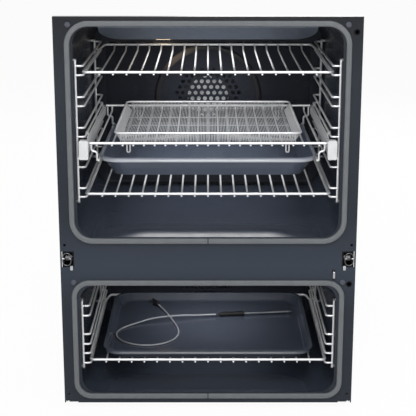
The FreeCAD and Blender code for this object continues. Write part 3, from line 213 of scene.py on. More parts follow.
def galvanised(name, dull, clear):
    """Hot-dipped zinc between a dull and a clear tone, black along its front edge as painted shade."""
    zinc = Finish(name, metallic=0.35, specular_ior_level=0.25)
    grain = zinc.place.cells(75, 1)
    tone = grain.node("RGBToBW", {"Color": grain})
    cloud = zinc.place.noise(6, 3)
    bright = tone * 0.5 + cloud * 0.5
    # Painted shade: the front edge, which lies in shadow behind the frame, is coloured black.
    shaded_front_edge = zinc.place.along("Y") < FRONT_PLANE + FRONT_SHADE_DEPTH
    return zinc.feed(
        base_color=shaded_front_edge.between(bright.between(dull, clear), shade(14, 14, 15)),
        roughness=tone * 0.2 + 0.6,
        normal=(zinc.place.noise(700, 2) * 0.5 + tone * 0.5).relief(0.00005))


zinc_sheet = galvanised("galvanised_sheet", shade(122, 127, 132), shade(180, 184, 188))
dress(zinc_sheet, "left_side_panel", "right_side_panel", "top_cover", "back_cover", "base_pan",
      "blower_housing")


def piece(name, shape, material, body, crease=35):
    """A finished bmesh as a named piece on a body, smooth but for edges sharper than the crease.

    The faces of a closed shape are turned outwards."""
    if all(edge.is_manifold for edge in shape.edges):
        bmesh.ops.recalc_face_normals(shape, faces=shape.faces)
        if shape.calc_volume(signed=True) < 0:
            bmesh.ops.reverse_faces(shape, faces=shape.faces)
    mesh = bpy.data.meshes.new(name)
    shape.to_mesh(mesh)
    shape.free()
    mesh.shade_smooth()
    mesh.set_sharp_from_angle(angle=math.radians(crease))
    mesh.materials.append(material)
    made = bpy.data.objects.new(name, mesh)
    bpy.context.collection.objects.link(made)
    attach(made, body)
    return made


def metal(name, low, high, rough, spread, grain=420, depth=0.00003, mirror=1.0):
    """Bare or plated steel: clouded tone, uneven polish and a fine surface grain."""
    bar = Finish(name, metallic=mirror)
    cloud = bar.place.noise(grain / 6, 4, 0.6)
    return bar.feed(base_color=cloud.between(low, high),
                    roughness=cloud * spread + rough,
                    normal=bar.place.noise(grain * 3, 2).relief(depth))


def screw_head(shape, spot, facing, radius, rise):
    """A low domed head with a cross recess, pressed from a round grid and turned to its facing."""
    cells = 5
    grid = bmesh.ops.create_grid(shape, x_segments=cells, y_segments=cells, size=radius)["verts"]
    cell = 2 * radius / cells
    faces = list({face for vert in grid for face in vert.link_faces})
    arms = [face for face in faces
            if min(abs(c) for c in face.calc_center_median().xy) < cell / 2
            and max(abs(c) for c in face.calc_center_median().xy) < 1.6 * cell]
    for vert in grid:
        ring = max(abs(vert.co.x), abs(vert.co.y))
        if ring > cell:
            vert.co.xy *= ring / vert.co.xy.length
        vert.co.z = rise * (1 - 0.55 * (ring / radius) ** 2)
    rim = [edge for edge in {e for face in faces for e in face.edges} if edge.is_boundary]
    skirt = [g for g in bmesh.ops.extrude_edge_only(shape, edges=rim)["geom"]]
    foot = [g for g in skirt if isinstance(g, bmesh.types.BMVert)]
    for vert in foot:
        vert.co.z = 0
    bmesh.ops.contextual_create(shape, geom=[g for g in skirt if isinstance(g, bmesh.types.BMEdge)
                                             and g.verts[0] in foot and g.verts[1] in foot])
    pressed = bmesh.ops.inset_region(shape, faces=arms, thickness=cell * 0.14, depth=-rise * 0.55,
                                     use_even_offset=True)["faces"]
    head = set(grid) | set(foot) | {v for face in pressed + arms for v in face.verts}
    turn = Vector((0, 0, 1)).rotation_difference(Vector(facing)).to_matrix().to_4x4()
    bmesh.ops.transform(shape, matrix=Matrix.Translation(spot) @ turn, verts=list(head))


steel = metal("steel", shade(150, 152, 156), shade(196, 198, 202), 0.22, 0.2)
low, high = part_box("case_screws")
SCREW_RADIUS = 0.004
SCREWS_A_SIDE = 5
heads = bmesh.new()
for side in (low.x + SCREW_RADIUS, high.x - SCREW_RADIUS):
    for number in range(SCREWS_A_SIDE):
        share = number / (SCREWS_A_SIDE - 1)
        rise = low.z + SCREW_RADIUS + (high.z - low.z - 2 * SCREW_RADIUS) * share
        screw_head(heads, (side, low.y, rise), (0, 1, 0), SCREW_RADIUS, high.y - low.y)
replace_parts(piece("case_screw_heads", heads, steel, "root", 30), "case_screws")

# Casing stiffeners: the crests of long beads pressed outward in the side panels, the top and the back
# cover, so that the thin sheet doesn't drum. They are paler than the sheet. Only the flat crests are
# drawn, a little way off the sheet.
STIFFENER_HALF = 0.011
STIFFENER_RISE = 0.0024


def bead_crest(shape, start, end, facing):
    """A flat strip with round ends from start to end, raised from a sheet that faces the given way."""
    start, out = Vector(start), Vector(facing)
    run = Vector(end) - start
    strip = bmesh.ops.create_circle(shape, cap_ends=True, segments=16, radius=STIFFENER_HALF)["verts"]
    for vert in strip:
        if vert.co.x > STIFFENER_HALF / 100:
            vert.co.x += run.length
        vert.co.z = STIFFENER_RISE
    along = run.normalized()
    turn = Matrix((along, out.cross(along), out)).transposed().to_4x4()
    bmesh.ops.transform(shape, matrix=Matrix.Translation(start) @ turn, verts=strip)


pale_zinc = galvanised("pale_zinc", shade(150, 154, 158), shade(204, 207, 210))


def beaded(name, runs, facing):
    """One piece with a crest for each run, which is a pair of points on a sheet."""
    beads = bmesh.new()
    for start, end in runs:
        bead_crest(beads, start, end, facing)
    piece(name, beads, pale_zinc, "root", 60)


FRONT_GAP = 0.1
REAR_GAP = 0.07
low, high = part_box("left_side_panel")
for side, sign in (("left", -1), ("right", 1)):
    beaded(f"{side}_panel_beads",
           [((sign * -low.x, low.y + FRONT_GAP, rise), (sign * -low.x, high.y - REAR_GAP, rise))
            for rise in (0.13, 0.36, 0.59)], (sign, 0, 0))
COVER_SHEET = 0.001
low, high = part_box("top_cover")
fall = (high.z - low.z - COVER_SHEET) / (high.y - low.y)


def on_roof(x, y):
    """The point of the sloping top cover above x, y."""
    return Vector((x, y, high.z - fall * (y - low.y)))


beaded("top_cover_beads",
       [(on_roof(x, low.y + FRONT_GAP), on_roof(x, high.y - REAR_GAP)) for x in (-0.17, 0, 0.17)],
       Vector((0, fall, 1)).normalized())
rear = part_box("back_cover")[1].y
beaded("back_cover_beads", [((x, rear, 0.07), (x, rear, 0.42)) for x in (-0.15, 0, 0.15)], (0, 1, 0))

# Top cover lips: the galvanised cover's edges, folded down over the side panels, each held by five
# steel screws.
LIP_HEIGHT = 0.014
LIP_SHEET = 0.0008
LIP_SCREWS = 5
LIP_SCREW_RADIUS = 0.0034
LIP_SCREW_RISE = 0.0014
for side, sign in (("left", -1), ("right", 1)):
    front_end, back_end = on_roof(sign * high.x, low.y + 0.02), on_roof(sign * high.x, high.y - 0.002)
    lip = bmesh.new()
    bmesh.ops.create_cube(lip, size=1)
    bmesh.ops.scale(lip, verts=lip.verts, vec=(LIP_SHEET, (back_end - front_end).length, LIP_HEIGHT))
    bmesh.ops.bevel(lip, geom=lip.edges[:], offset=LIP_SHEET * 0.35, offset_type="OFFSET", affect="EDGES",
                    segments=2, profile=0.5, material=-1)
    middle = (front_end + back_end) / 2 + Vector((sign * LIP_SHEET / 2, 0, -LIP_HEIGHT / 2))
    slope = Matrix.Rotation(-math.atan(fall), 4, "X")
    bmesh.ops.transform(lip, matrix=Matrix.Translation(middle) @ slope, verts=lip.verts)
    piece(f"{side}_cover_lip", lip, zinc_sheet, "root", 40)
    lip_screws = bmesh.new()
    on_lip = Vector((sign * LIP_SHEET, 0, -LIP_HEIGHT * 0.55))
    for number in range(LIP_SCREWS):
        spot = front_end.lerp(back_end, (number + 0.5) / LIP_SCREWS)
        screw_head(lip_screws, spot + on_lip, (sign, 0, 0), LIP_SCREW_RADIUS, LIP_SCREW_RISE)
    piece(f"{side}_lip_screws", lip_screws, steel, "root", 30)

# Liners: the two oven cavities, drawn from steel sheet and enamelled darker than the frame, with the
# fan covers fixed on their back walls in a darker enamel that is painted shade, and a painted pool of light
# round the fan's holes.
cavity_enamel = enamel("cavity_enamel", shade(46, 51, 61), shade(70, 76, 88), fleck_size=0.0016,
                       gloss=0.24, ripple=0.00009, skin=0.2)
dress(cavity_enamel, "upper_cavity", "lower_cavity")
hub = sum(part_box("upper_fan"), Vector()) / 2
LIT_DISC_RADIUS = 0.14
# The covers' dark ground is painted shade for the back of the cavity, and the paler disc round the hub is
# painted light.
cover_enamel = enamel("cover_enamel", shade(29, 31, 37), shade(48, 52, 60), fleck_size=0.0016,
                      gloss=0.26, ripple=0.00009, skin=0.05,
                      painted_patches=[(0, hub.z, LIT_DISC_RADIUS, LIT_DISC_RADIUS, shade(46, 49, 57))])
dress(cover_enamel, "upper_fan_cover", "lower_fan_cover")

# Liner sills: the front edge of each oven's floor, rolled down to the frame in the liner's own enamelled
# sheet. It stands highest in the middle and dies out into the floor before the corners.
LINER_SHEET = 0.0008
SILL_HALF = 0.214
SILL_STEPS = 44
SILL_RISE = {"upper": 0.0155, "lower": 0.005}
SILL_PROFILE = [(0.0, 0.0), (0.0008, 0.09), (0.0022, 0.22), (0.0044, 0.43), (0.0066, 0.63),
                (0.0088, 0.80), (0.0112, 0.92), (0.0142, 0.985), (0.0180, 1.0), (0.0240, 0.975),
                (0.0330, 0.90), (0.0450, 0.76), (0.0600, 0.55), (0.0750, 0.33), (0.0900, 0.15),
                (0.1050, 0.04), (0.1150, 0.0)]
SILL_START = 0.0018
SILL_SINK = 0.0002
SILL_FADE = 0.1
sill_enamel = enamel("sill_enamel", shade(46, 51, 61), shade(70, 76, 88), fleck_size=0.0016,
                     gloss=0.38, ripple=0.00004, skin=0.9)
for oven in ("upper", "lower"):
    floor_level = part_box(f"{oven}_cavity")[0].z + LINER_SHEET
    sill = bmesh.new()
    spine = [sill.verts.new((-SILL_HALF, FRONT_PLANE + SILL_START + depth, rise))
             for depth, rise in SILL_PROFILE]
    run = [sill.edges.new(pair) for pair in zip(spine, spine[1:] + spine[:1])]
    for step in range(SILL_STEPS):
        grown = bmesh.ops.extrude_edge_only(sill, edges=run)["geom"]
        fresh = [g for g in grown if isinstance(g, bmesh.types.BMVert)]
        bmesh.ops.translate(sill, verts=fresh, vec=(2 * SILL_HALF / SILL_STEPS, 0, 0))
        run = [g for g in grown if isinstance(g, bmesh.types.BMEdge) and set(g.verts) <= set(fresh)]
    bmesh.ops.holes_fill(sill, edges=[e for e in sill.edges if e.is_boundary], sides=0)
    for vert in sill.verts:
        fade = min(1.0, (SILL_HALF - abs(vert.co.x)) / SILL_FADE)
        vert.co.z = floor_level - SILL_SINK + vert.co.z * SILL_RISE[oven] * fade * fade * (3 - 2 * fade)
    piece(f"{oven}_liner_sill", sill, sill_enamel, "root", 50)

# Fan cover bead: a half-round ring pressed in the upper cover round its holes, to stiffen it. Its enamel
# is nearly black as painted shade, with a painted warm highlight next to the lamp.
COVER_FACE = 0.002
BEAD_RADIUS = 0.1095
BEAD_HALF_WIDTH = 0.008
BEAD_RISE = 0.0022
ARCH_STEPS = 8
LAMP_HIGHLIGHT_RADIUS = 0.085
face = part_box("upper_fan_cover")[0].y + COVER_FACE
bead = bmesh.new()
arch = []
for step in range(ARCH_STEPS + 1):
    swing = math.pi * step / ARCH_STEPS
    arch.append(bead.verts.new((BEAD_RADIUS + BEAD_HALF_WIDTH * math.cos(swing),
                                face - BEAD_RISE * math.sin(swing), 0)))
arch_edges = [bead.edges.new(pair) for pair in zip(arch, arch[1:] + arch[:1])]
bmesh.ops.spin(bead, geom=arch + arch_edges, cent=(0, 0, 0), axis=(0, 1, 0), angle=2 * math.pi, steps=96,
               use_merge=True)
bmesh.ops.remove_doubles(bead, verts=bead.verts, dist=1e-6)
bmesh.ops.translate(bead, verts=bead.verts, vec=(0, 0, hub.z))
lens_low, lens_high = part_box("lamp_lenses")
lens_middle = (lens_low.x + lens_high.x) / 2
# Painted shade darkens the whole ring, and the light brown patch by the lamp is a painted highlight.
bead_enamel = enamel(
    "bead_enamel", shade(14, 15, 18), shade(24, 26, 30), fleck_size=0.0016, gloss=0.38, ripple=0.00004,
    skin=0.25, painted_patches=[(lens_middle, lens_high.z, LAMP_HIGHLIGHT_RADIUS, LAMP_HIGHLIGHT_RADIUS, shade(150, 134, 116))])
piece("upper_fan_cover_bead", bead, bead_enamel, "root", 50)

# Fan cover screws: four low cross-head screws through the corners of each cover into the back wall,
# enamelled with it.
COVER_INSET = 0.013
COVER_SCREW_RADIUS = 0.0035
COVER_SCREW_RISE = 0.0016
for oven in ("upper", "lower"):
    low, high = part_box(f"{oven}_fan_cover")
    cover_screws = bmesh.new()
    for x in (low.x + COVER_INSET, high.x - COVER_INSET):
        for z in (low.z + COVER_INSET, high.z - COVER_INSET):
            screw_head(cover_screws, (x, low.y + COVER_FACE, z), (0, -1, 0),
                       COVER_SCREW_RADIUS, COVER_SCREW_RISE)
    piece(f"{oven}_cover_screws", cover_screws, cover_enamel, "root", 30)

# Insulation: a blanket of mineral wool wrapped round each liner, which fills the space to the casing
# and is held by it.
wool = Finish("mineral_wool", roughness=0.95)
tuft = wool.place.noise(240, 5, 0.7)
dress(wool.feed(base_color=tuft.between(shade(120, 112, 92), shade(176, 166, 140)),
                normal=tuft.relief(0.002)), "insulation_blankets")

# Door seals: extruded grey silicone, pressed into a groove round each opening, with its two ends butted
# in the middle of the bottom.
seal = Finish("seal_rubber", specular_ior_level=0.3)
dust = seal.place.noise(55, 4, 0.65)
across, height = seal.place.along("X"), seal.place.along("Z")
UPPER_SEAL_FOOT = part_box("upper_door_seal")[0].z
LOWER_SEAL_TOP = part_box("lower_door_seal")[1].z
JOINT_HALF_WIDTH = 0.001
upper_foot = (height < UPPER_SEAL_FOOT + 0.05) * (height > LOWER_SEAL_TOP)
lower_foot = height < LOWER_SEAL_TOP / 2
joint = (across > -JOINT_HALF_WIDTH) * (across < JOINT_HALF_WIDTH) * (upper_foot + lower_foot)
rubber = dust.between(shade(86, 89, 92), shade(104, 107, 110))
dress(seal.feed(base_color=joint.between(rubber, shade(20, 21, 23)),
                roughness=dust * 0.2 + 0.45,
                normal=seal.place.noise(1400, 2).relief(0.00005)), "upper_door_seal", "lower_door_seal")

# Bumpers: four small buttons of grey-violet silicone that the doors close on, plugged into holes in the
# frame's corners.
button = Finish("dark_rubber", specular_ior_level=0.3)
haze = button.place.noise(300, 3)
dress(button.feed(base_color=haze.between(shade(58, 60, 69), shade(78, 80, 91)),
                  roughness=haze * 0.2 + 0.5), "door_bumpers")


# Door hinge sockets: folded steel receivers behind the frame's slots, screwed to it, whose bright
# tongues hang over the frame. Their steel is black behind the frame's face, as painted shade in the
# slots. Dull steel rollers turn in them, which the hinge arms bear on.
def socket_steel():
    """Scaled steel, black as painted shade behind the frame's face, and bright where it stands in front of
    it.
    """
    fold = Finish("socket_steel", metallic=0.6)
    scale = fold.place.noise(90, 4, 0.6)
    # Painted shade: the part behind the frame's face is black, and the lit tongue in front is bright.
    lit_tongue = fold.place.along("Y") < FRONT_PLANE + 0.0002
    black = scale.between(shade(10, 10, 11), shade(24, 24, 26))
    worn = scale.between(shade(150, 152, 156), shade(196, 198, 202))
    return fold.feed(base_color=lit_tongue.between(black, worn), roughness=scale * 0.2 + 0.35,
                     normal=fold.place.noise(1300, 2).relief(0.00003))


dress(socket_steel(), "hinge_receivers")
dull_steel = metal("dull_steel", shade(70, 70, 72), shade(106, 106, 109), 0.32, 0.2)
dress(dull_steel, "upper_left_hinge_roller", "upper_right_hinge_roller", "lower_left_hinge_roller",
      "lower_right_hinge_roller")

# Fans: pressed steel blades on a disc, each on its motor's shaft. The upper one is bright but for its
# blades' tips, which are black as painted shade behind the cover's outer holes, and the lower one has dulled
# all over.
BRIGHT_RADIUS = 0.045
blades = Finish("fan_sheet", metallic=0.3)
across, height = blades.place.along("X"), blades.place.along("Z") - hub.z
sheen = blades.place.noise(70, 4, 0.6)
# Painted shade: the blades' tips are black, so that the cover's outer holes look into shadow.
tip = across * across + height * height > BRIGHT_RADIUS * BRIGHT_RADIUS
dress(blades.feed(base_color=tip.between(sheen.between(shade(206, 207, 208), shade(228, 229, 230)),
                                         sheen.between(shade(9, 9, 9), shade(18, 17, 16))),
                  roughness=sheen * 0.14 + 0.34,
                  normal=blades.place.noise(1260, 2).relief(0.00003)), "upper_fan")
dress(dull_steel, "lower_fan")


# Hinge bails and latches: a closed loop of dull steel wire on each upper receiver, with two small steel
# cones in it that point inwards and hold the hinge arm.
def wire_loop(shape, centre, half_width, half_height, radius):
    """A closed loop of round wire with half-round ends, upright in the XZ plane."""
    straight = half_height - half_width
    section = bmesh.ops.create_circle(
        shape, segments=8, radius=radius, matrix=Matrix.Translation((half_width, 0, -straight)))["verts"]
    loop = list({edge for vert in section for edge in vert.link_edges})
    for climb, pivot in ((2 * straight, straight), (-2 * straight, -straight)):
        run = bmesh.ops.extrude_edge_only(shape, edges=loop)["geom"]
        moved = [g for g in run if isinstance(g, bmesh.types.BMVert)]
        bmesh.ops.translate(shape, verts=moved, vec=(0, 0, climb))
        loop = [g for g in run if isinstance(g, bmesh.types.BMEdge) and set(g.verts) <= set(moved)]
        bend = bmesh.ops.spin(shape, geom=moved + loop, cent=(0, 0, pivot), axis=(0, -1, 0),
                              angle=math.pi, steps=9)["geom_last"]
        loop = [g for g in bend if isinstance(g, bmesh.types.BMEdge)]
    bmesh.ops.remove_doubles(shape, verts=shape.verts, dist=1e-5)
    bmesh.ops.translate(shape, verts=shape.verts, vec=centre)


BAIL_REACH = 0.2672
BAIL_WIRE = 0.0011
BAIL_HALF_WIDTH = 0.0078
BAIL_HALF_HEIGHT = 0.0122
LATCH_LENGTH = 0.0044
LATCH_FOOT = 0.0024
LATCH_TIP = 0.0006
LATCH_EDGE = 0.0003
for side, sign in (("left", -1), ("right", 1)):
    low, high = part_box(f"upper_{side}_hinge_roller")
    centre = Vector((sign * BAIL_REACH, FRONT_PLANE - BAIL_WIRE, (low.z + high.z) / 2))
    bail = bmesh.new()
    wire_loop(bail, centre, BAIL_HALF_WIDTH, BAIL_HALF_HEIGHT, BAIL_WIRE)
    piece(f"upper_{side}_hinge_bail", bail, dull_steel, "root")
    latch = bmesh.new()
    for way in (-1, 1):
        inward = Matrix.Rotation(-way * math.pi / 2, 4, "Y")
        spot = centre + Vector((way * (BAIL_HALF_WIDTH - LATCH_LENGTH / 2), 0.0008, 0.0012))
        bmesh.ops.create_cone(latch, cap_ends=True, segments=14, radius1=LATCH_FOOT, radius2=LATCH_TIP,
                              depth=LATCH_LENGTH, matrix=Matrix.Translation(spot) @ inward)
    bmesh.ops.bevel(latch, geom=[e for e in latch.edges if e.calc_face_angle(0) > 0.9], offset=LATCH_EDGE,
                    offset_type="OFFSET", affect="EDGES", segments=2, profile=0.5, material=-1)
    piece(f"upper_{side}_hinge_latch", latch, steel, "root")

# Heating elements, motors and small steel fittings: sheathed elements and motor shells in dark oxidised
# steel, with sensors, blower rotor, probe needle and switch lever in bright steel.
dark_steel = metal("dark_steel", shade(44, 43, 43), shade(78, 75, 73), 0.42, 0.2)
dress(dark_steel, "upper_ring_element", "lower_ring_element", "upper_grill_element", "lower_grill_element",
      "upper_fan_motor", "lower_fan_motor")
dress(steel, "temperature_sensors", "blower_rotor", "probe_needle", "door_switch_lever")


# Moulded fittings: the door switch and the probe sockets in black plastic, clipped into the frame, and
# the grey terminal box, screwed to the casing.
def moulded(name, low, high, rough, shine=0.45):
    """Moulded plastic or ceramic with a faint mottle and a fine grain."""
    plastic = Finish(name, specular_ior_level=shine)
    mottle = plastic.place.noise(220, 3)
    return plastic.feed(base_color=mottle.between(low, high),
                        roughness=mottle * 0.16 + rough,
                        normal=plastic.place.noise(2600, 2).relief(0.00004))


black_plastic = moulded("black_plastic", shade(14, 14, 15), shade(27, 27, 29), 0.36)
dress(black_plastic, "door_switch")
dress(moulded("socket_plastic", shade(5, 5, 6), shade(12, 12, 13), 0.6, 0.1), "probe_sockets")
grey_plastic = moulded("grey_plastic", shade(118, 121, 124), shade(140, 143, 146), 0.42)
dress(grey_plastic, "terminal_box")

# Gland nut: a six-sided nut of the same grey plastic on the mains gland, drawn up against the outside of
# the back cover.
NUT_WALL = [(0.0105, 0), (0.0146, 0), (0.0146, 0.0042), (0.0136, 0.0052), (0.0110, 0.0052), (0.0105, 0.0047)]
low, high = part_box("terminal_box")
gland_at = Vector(((low.x + high.x) / 2, rear, (low.z + high.z) / 2))
nut = bmesh.new()
wall = [nut.verts.new((radius, 0, rise)) for radius, rise in NUT_WALL]
wall_edges = [nut.edges.new(pair) for pair in zip(wall, wall[1:] + wall[:1])]
bmesh.ops.spin(nut, geom=wall + wall_edges, cent=(0, 0, 0), axis=(0, 0, 1), angle=2 * math.pi, steps=6,
               use_merge=True)
bmesh.ops.remove_doubles(nut, verts=nut.verts, dist=1e-6)
bmesh.ops.transform(nut, matrix=Matrix.Translation(gland_at) @ Matrix.Rotation(-math.pi / 2, 4, "X"),
                    verts=nut.verts)
piece("gland_nut", nut, grey_plastic, "root", 20)

# Runners: the rails, middle members and slides of the telescopic runners, rolled from steel strip with a
# satin silver plating, and hooked into the racks.
satin_silver = metal("satin_silver", shade(186, 187, 188), shade(212, 213, 214), 0.34, 0.14, mirror=0.35)
dress(satin_silver, "left_runner_rail", "right_runner_rail", "left_runner_middle",
      "right_runner_middle", "left_runner_slide", "right_runner_slide")

# Grill deflector: a bright sheet of blue-grey steel, fixed under the front edge of the upper roof, which
# keeps the grill's heat off the door.
deflector = metal("deflector_sheet", shade(112, 121, 134), shade(140, 149, 163), 0.34, 0.12)
dress(deflector, "grill_deflector")

# Lamps: pressed glass lenses in ceramic holders, screwed through the back walls, and lit warm from
# behind.
dress(moulded("ceramic", shade(214, 208, 196), shade(236, 231, 220), 0.3), "lamp_holders")
glass = Finish("lamp_glass", roughness=0.12, emission_strength=3.0)
rib = glass.place.noise(420, 1)
dress(glass.feed(base_color=rib.between(shade(226, 214, 190), shade(244, 236, 218)),
                 emission_color=rib.between(shade(255, 214, 164), shade(255, 236, 206)),
                 normal=rib.relief(0.0004)), "lamp_lenses")

# Racks, shelves and carrier: drawn steel wire, welded at the crossings and plated with bright chrome. The
# racks hook into the liners' walls, and shelves and carrier slide out on them.
chrome = metal("chrome_wire", shade(198, 199, 201), shade(226, 227, 229), 0.24, 0.14, 500, 0.00002, 0.45)
dress(chrome, "upper_left_rack", "upper_right_rack", "lower_left_rack", "lower_right_rack", "top_shelf",
      "bottom_shelf", "lower_shelf", "basket_carrier")

# Basket: fine chromed wires side by side, each bent up at both ends and welded to a stout rim, on three
# cross wires, with four loops of wire for legs. The fine wire is duller than the rim.
RIM_HALF_WIRE = 0.002
BASKET_DEPTH = 0.017
BASKET_CORNER = 0.012
SIDE_SLOPE = 0.0108
FINE_WIRE = 0.0014
FINE_WIRES = 109
CROSS_WIRE = 0.002
CROSS_DROP = 0.0015
WIRE_BEND = 0.003
LEG_WIRE = 0.003
LEG_SPAN = 0.006
LEG_REACH = 0.15
LEG_INSET = 0.006


def drawn_wire(shape, path, width, sides=6):
    """A round wire along a path of points, with flat ends."""
    rings = []
    for before, spot, after in zip(path[:1] + path[:-1], path, path[1:] + path[-1:]):
        turn = (Vector(after) - Vector(before)).to_track_quat("Z", "X").to_matrix().to_4x4()
        ring = bmesh.ops.create_circle(shape, segments=sides, radius=width / 2,
                                       matrix=Matrix.Translation(spot) @ turn)["verts"]
        rings.append(list({edge for vert in ring for edge in vert.link_edges}))
    for first, second in zip(rings, rings[1:]):
        bmesh.ops.bridge_loops(shape, edges=first + second)
    for end in (rings[0], rings[-1]):
        bmesh.ops.contextual_create(shape, geom=end)


def trough(start, end, top, floor, bend):
    """The path of a wire in one upright plane that drops from top to floor, runs across and climbs again."""
    start, end = Vector(start), Vector(end)
    across = (end - start).normalized()
    path = []
    for corner, way in ((start, across), (end, -across)):
        leg = [corner + Vector((0, 0, top)), corner + Vector((0, 0, floor + bend)),
               corner + way * bend * 0.3 + Vector((0, 0, floor + bend * 0.3)),
               corner + way * bend + Vector((0, 0, floor))]
        path += leg if way == across else leg[::-1]
    return path


def rounded_path(half, near, far, corner, height, steps=6):
    """The points of a level rectangle with round corners, anticlockwise from its right side."""
    path = []
    for number, (hub_x, hub_y) in enumerate(((half - corner, far - corner), (corner - half, far - corner),
                                             (corner - half, near + corner), (half - corner, near + corner))):
        for step in range(steps + 1):
            swing = math.pi / 2 * (number + step / steps)
            path.append(Vector((hub_x + corner * math.cos(swing), hub_y + corner * math.sin(swing), height)))
    return path


low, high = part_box("wire_basket")
rim = high.z - RIM_HALF_WIRE
bottom = rim - BASKET_DEPTH
near, far, side = low.y + RIM_HALF_WIRE, high.y - RIM_HALF_WIRE, high.x - RIM_HALF_WIRE
basket = bmesh.new()
half = side - SIDE_SLOPE
for number in range(FINE_WIRES):
    x = half * (2 * number / (FINE_WIRES - 1) - 1)
    drawn_wire(basket, trough((x, near, 0), (x, far, 0), rim, bottom, WIRE_BEND), FINE_WIRE)
for share in (0.25, 0.5, 0.75):
    y = near + (far - near) * share
    drawn_wire(basket, trough((-side, y, 0), (side, y, 0), rim, bottom - CROSS_DROP, WIRE_BEND), CROSS_WIRE)
foot = low.z + LEG_WIRE / 2
for y in (near + LEG_INSET, far - LEG_INSET):
    for x in (-LEG_REACH, LEG_REACH):
        leg = trough((x - LEG_SPAN / 2, y, 0), (x + LEG_SPAN / 2, y, 0), bottom, foot, WIRE_BEND)
        drawn_wire(basket, leg, LEG_WIRE, 10)
rim_path = rounded_path(side, near, far, BASKET_CORNER, rim)
drawn_wire(basket, rim_path + [rim_path[0] - Vector((0, 0.001, 0))], 2 * RIM_HALF_WIRE, 12)
basket_wire = Finish("basket_wire", metallic=0.4)
polish = basket_wire.place.noise(80, 4, 0.6)
plated = basket_wire.feed(
    base_color=(basket_wire.place.along("Z") > rim - RIM_HALF_WIRE).between(
        polish.between(shade(182, 183, 185), shade(208, 209, 211)),
        polish.between(shade(198, 199, 201), shade(226, 227, 229))),
    roughness=polish * 0.14 + 0.26)
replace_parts(piece("basket_wires", basket, plated, "wire_basket", 60), "wire_basket")

# Basket sides: fine dull uprights along both sides, bent in from the rim to the outermost floor wire and
# welded to both.
SIDE_PITCH = 0.0031
uprights = bmesh.new()
for sign in (-1, 1):
    for number in range(int((far - near - 2 * BASKET_CORNER) / SIDE_PITCH) + 1):
        y = near + BASKET_CORNER + number * SIDE_PITCH
        drawn_wire(uprights, [Vector((sign * side, y, rim)), Vector((sign * half, y, bottom))], FINE_WIRE)
fine_wire = metal("fine_wire", shade(132, 133, 135), shade(160, 161, 163), 0.34, 0.14, 500, 0.00002, 0.25)
piece("basket_side_wires", uprights, fine_wire, "wire_basket", 60)

# Deep pan and baking tray: drawn steel in blue-grey enamel, the tray's darker, with a painted highlight
# along their rims. The front of each flange is rolled down into a smooth lip that dies out in the corners.
PAN_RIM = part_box("deep_pan")[1].z
TRAY_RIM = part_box("baking_tray")[1].z
RIM_HIGHLIGHT = shade(118, 124, 135)
# The paler bands along the rims are painted highlights.
dress(enamel("pan_enamel", shade(71, 78, 91), shade(95, 103, 117), fleck_size=0.0013, gloss=0.22,
             ripple=0.00008, skin=0.3, rim_highlights=[(PAN_RIM - 0.0016, PAN_RIM + 0.001, RIM_HIGHLIGHT)]), "deep_pan")
tray_enamel = enamel("tray_enamel", shade(46, 50, 59), shade(68, 74, 85), fleck_size=0.0013, gloss=0.2,
                     ripple=0.00008, skin=0.4,
                     rim_highlights=[(TRAY_RIM - 0.0014, TRAY_RIM + 0.001, shade(58, 63, 72))])
dress(tray_enamel, "baking_tray")
ROLL_THICK = 0.0014
ROLL_WIDE = 0.0042


def rolled_lip(name, ware, corner, tilt, coat):
    """The rolled front edge of a pan whose flange has round corners, its broad side tilted up."""
    low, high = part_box(ware)
    lean = math.radians(tilt)
    deep = math.hypot(ROLL_THICK * math.cos(lean), ROLL_WIDE * math.sin(lean))
    tall = math.hypot(ROLL_THICK * math.sin(lean), ROLL_WIDE * math.cos(lean))
    roll = bmesh.new()
    ring = bmesh.ops.create_circle(roll, segments=16, radius=1)["verts"]
    section = Matrix.Diagonal((1, ROLL_THICK, ROLL_WIDE, 1)) @ Matrix.Rotation(math.pi / 2, 4, "Y")
    bmesh.ops.transform(roll, matrix=Matrix.Rotation(-lean, 4, "X") @ section, verts=ring)
    bmesh.ops.translate(roll, verts=ring, vec=(low.x + corner, low.y + deep, high.z - tall))
    loop = list({edge for vert in ring for edge in vert.link_edges})
    grown = bmesh.ops.extrude_edge_only(roll, edges=loop)["geom"]
    far = [g for g in grown if isinstance(g, bmesh.types.BMVert)]
    bmesh.ops.translate(roll, verts=far, vec=(high.x - low.x - 2 * corner, 0, 0))
    far_loop = [g for g in grown if isinstance(g, bmesh.types.BMEdge) and set(g.verts) <= set(far)]
    for end, edges, sign in ((ring, loop, -1), (far, far_loop, 1)):
        hub = Vector((sign * (high.x - corner), low.y + corner, 0))
        bend = bmesh.ops.spin(roll, geom=list(end) + edges, cent=hub, axis=(0, 0, sign), angle=math.pi / 3,
                              steps=10)["geom_last"]
        tip = [g for g in bend if isinstance(g, bmesh.types.BMVert)]
        heart = sum((vert.co for vert in tip), Vector()) / len(tip)
        heart.z = high.z - tall / 4
        bmesh.ops.scale(roll, verts=tip, vec=(0.3, 0.3, 0.2), space=Matrix.Translation(-heart))
    bmesh.ops.remove_doubles(roll, verts=roll.verts, dist=1e-6)
    bmesh.ops.holes_fill(roll, edges=[edge for edge in roll.edges if edge.is_boundary], sides=0)
    piece(name, roll, coat, ware, 60)


# The lips' enamel is paler than their ware's, as a painted highlight.
rolled_lip("pan_lip", "deep_pan", 0.0375, 18,
           enamel("pan_lip_highlight", shade(150, 154, 161), shade(166, 170, 177), fleck_size=0.0013,
                  gloss=0.24, ripple=0.00004))
rolled_lip("tray_lip", "baking_tray", 0.035, 34,
           enamel("tray_lip_highlight", shade(58, 63, 72), shade(76, 82, 92), fleck_size=0.0013,
                  gloss=0.3, ripple=0.00004, skin=0.6))

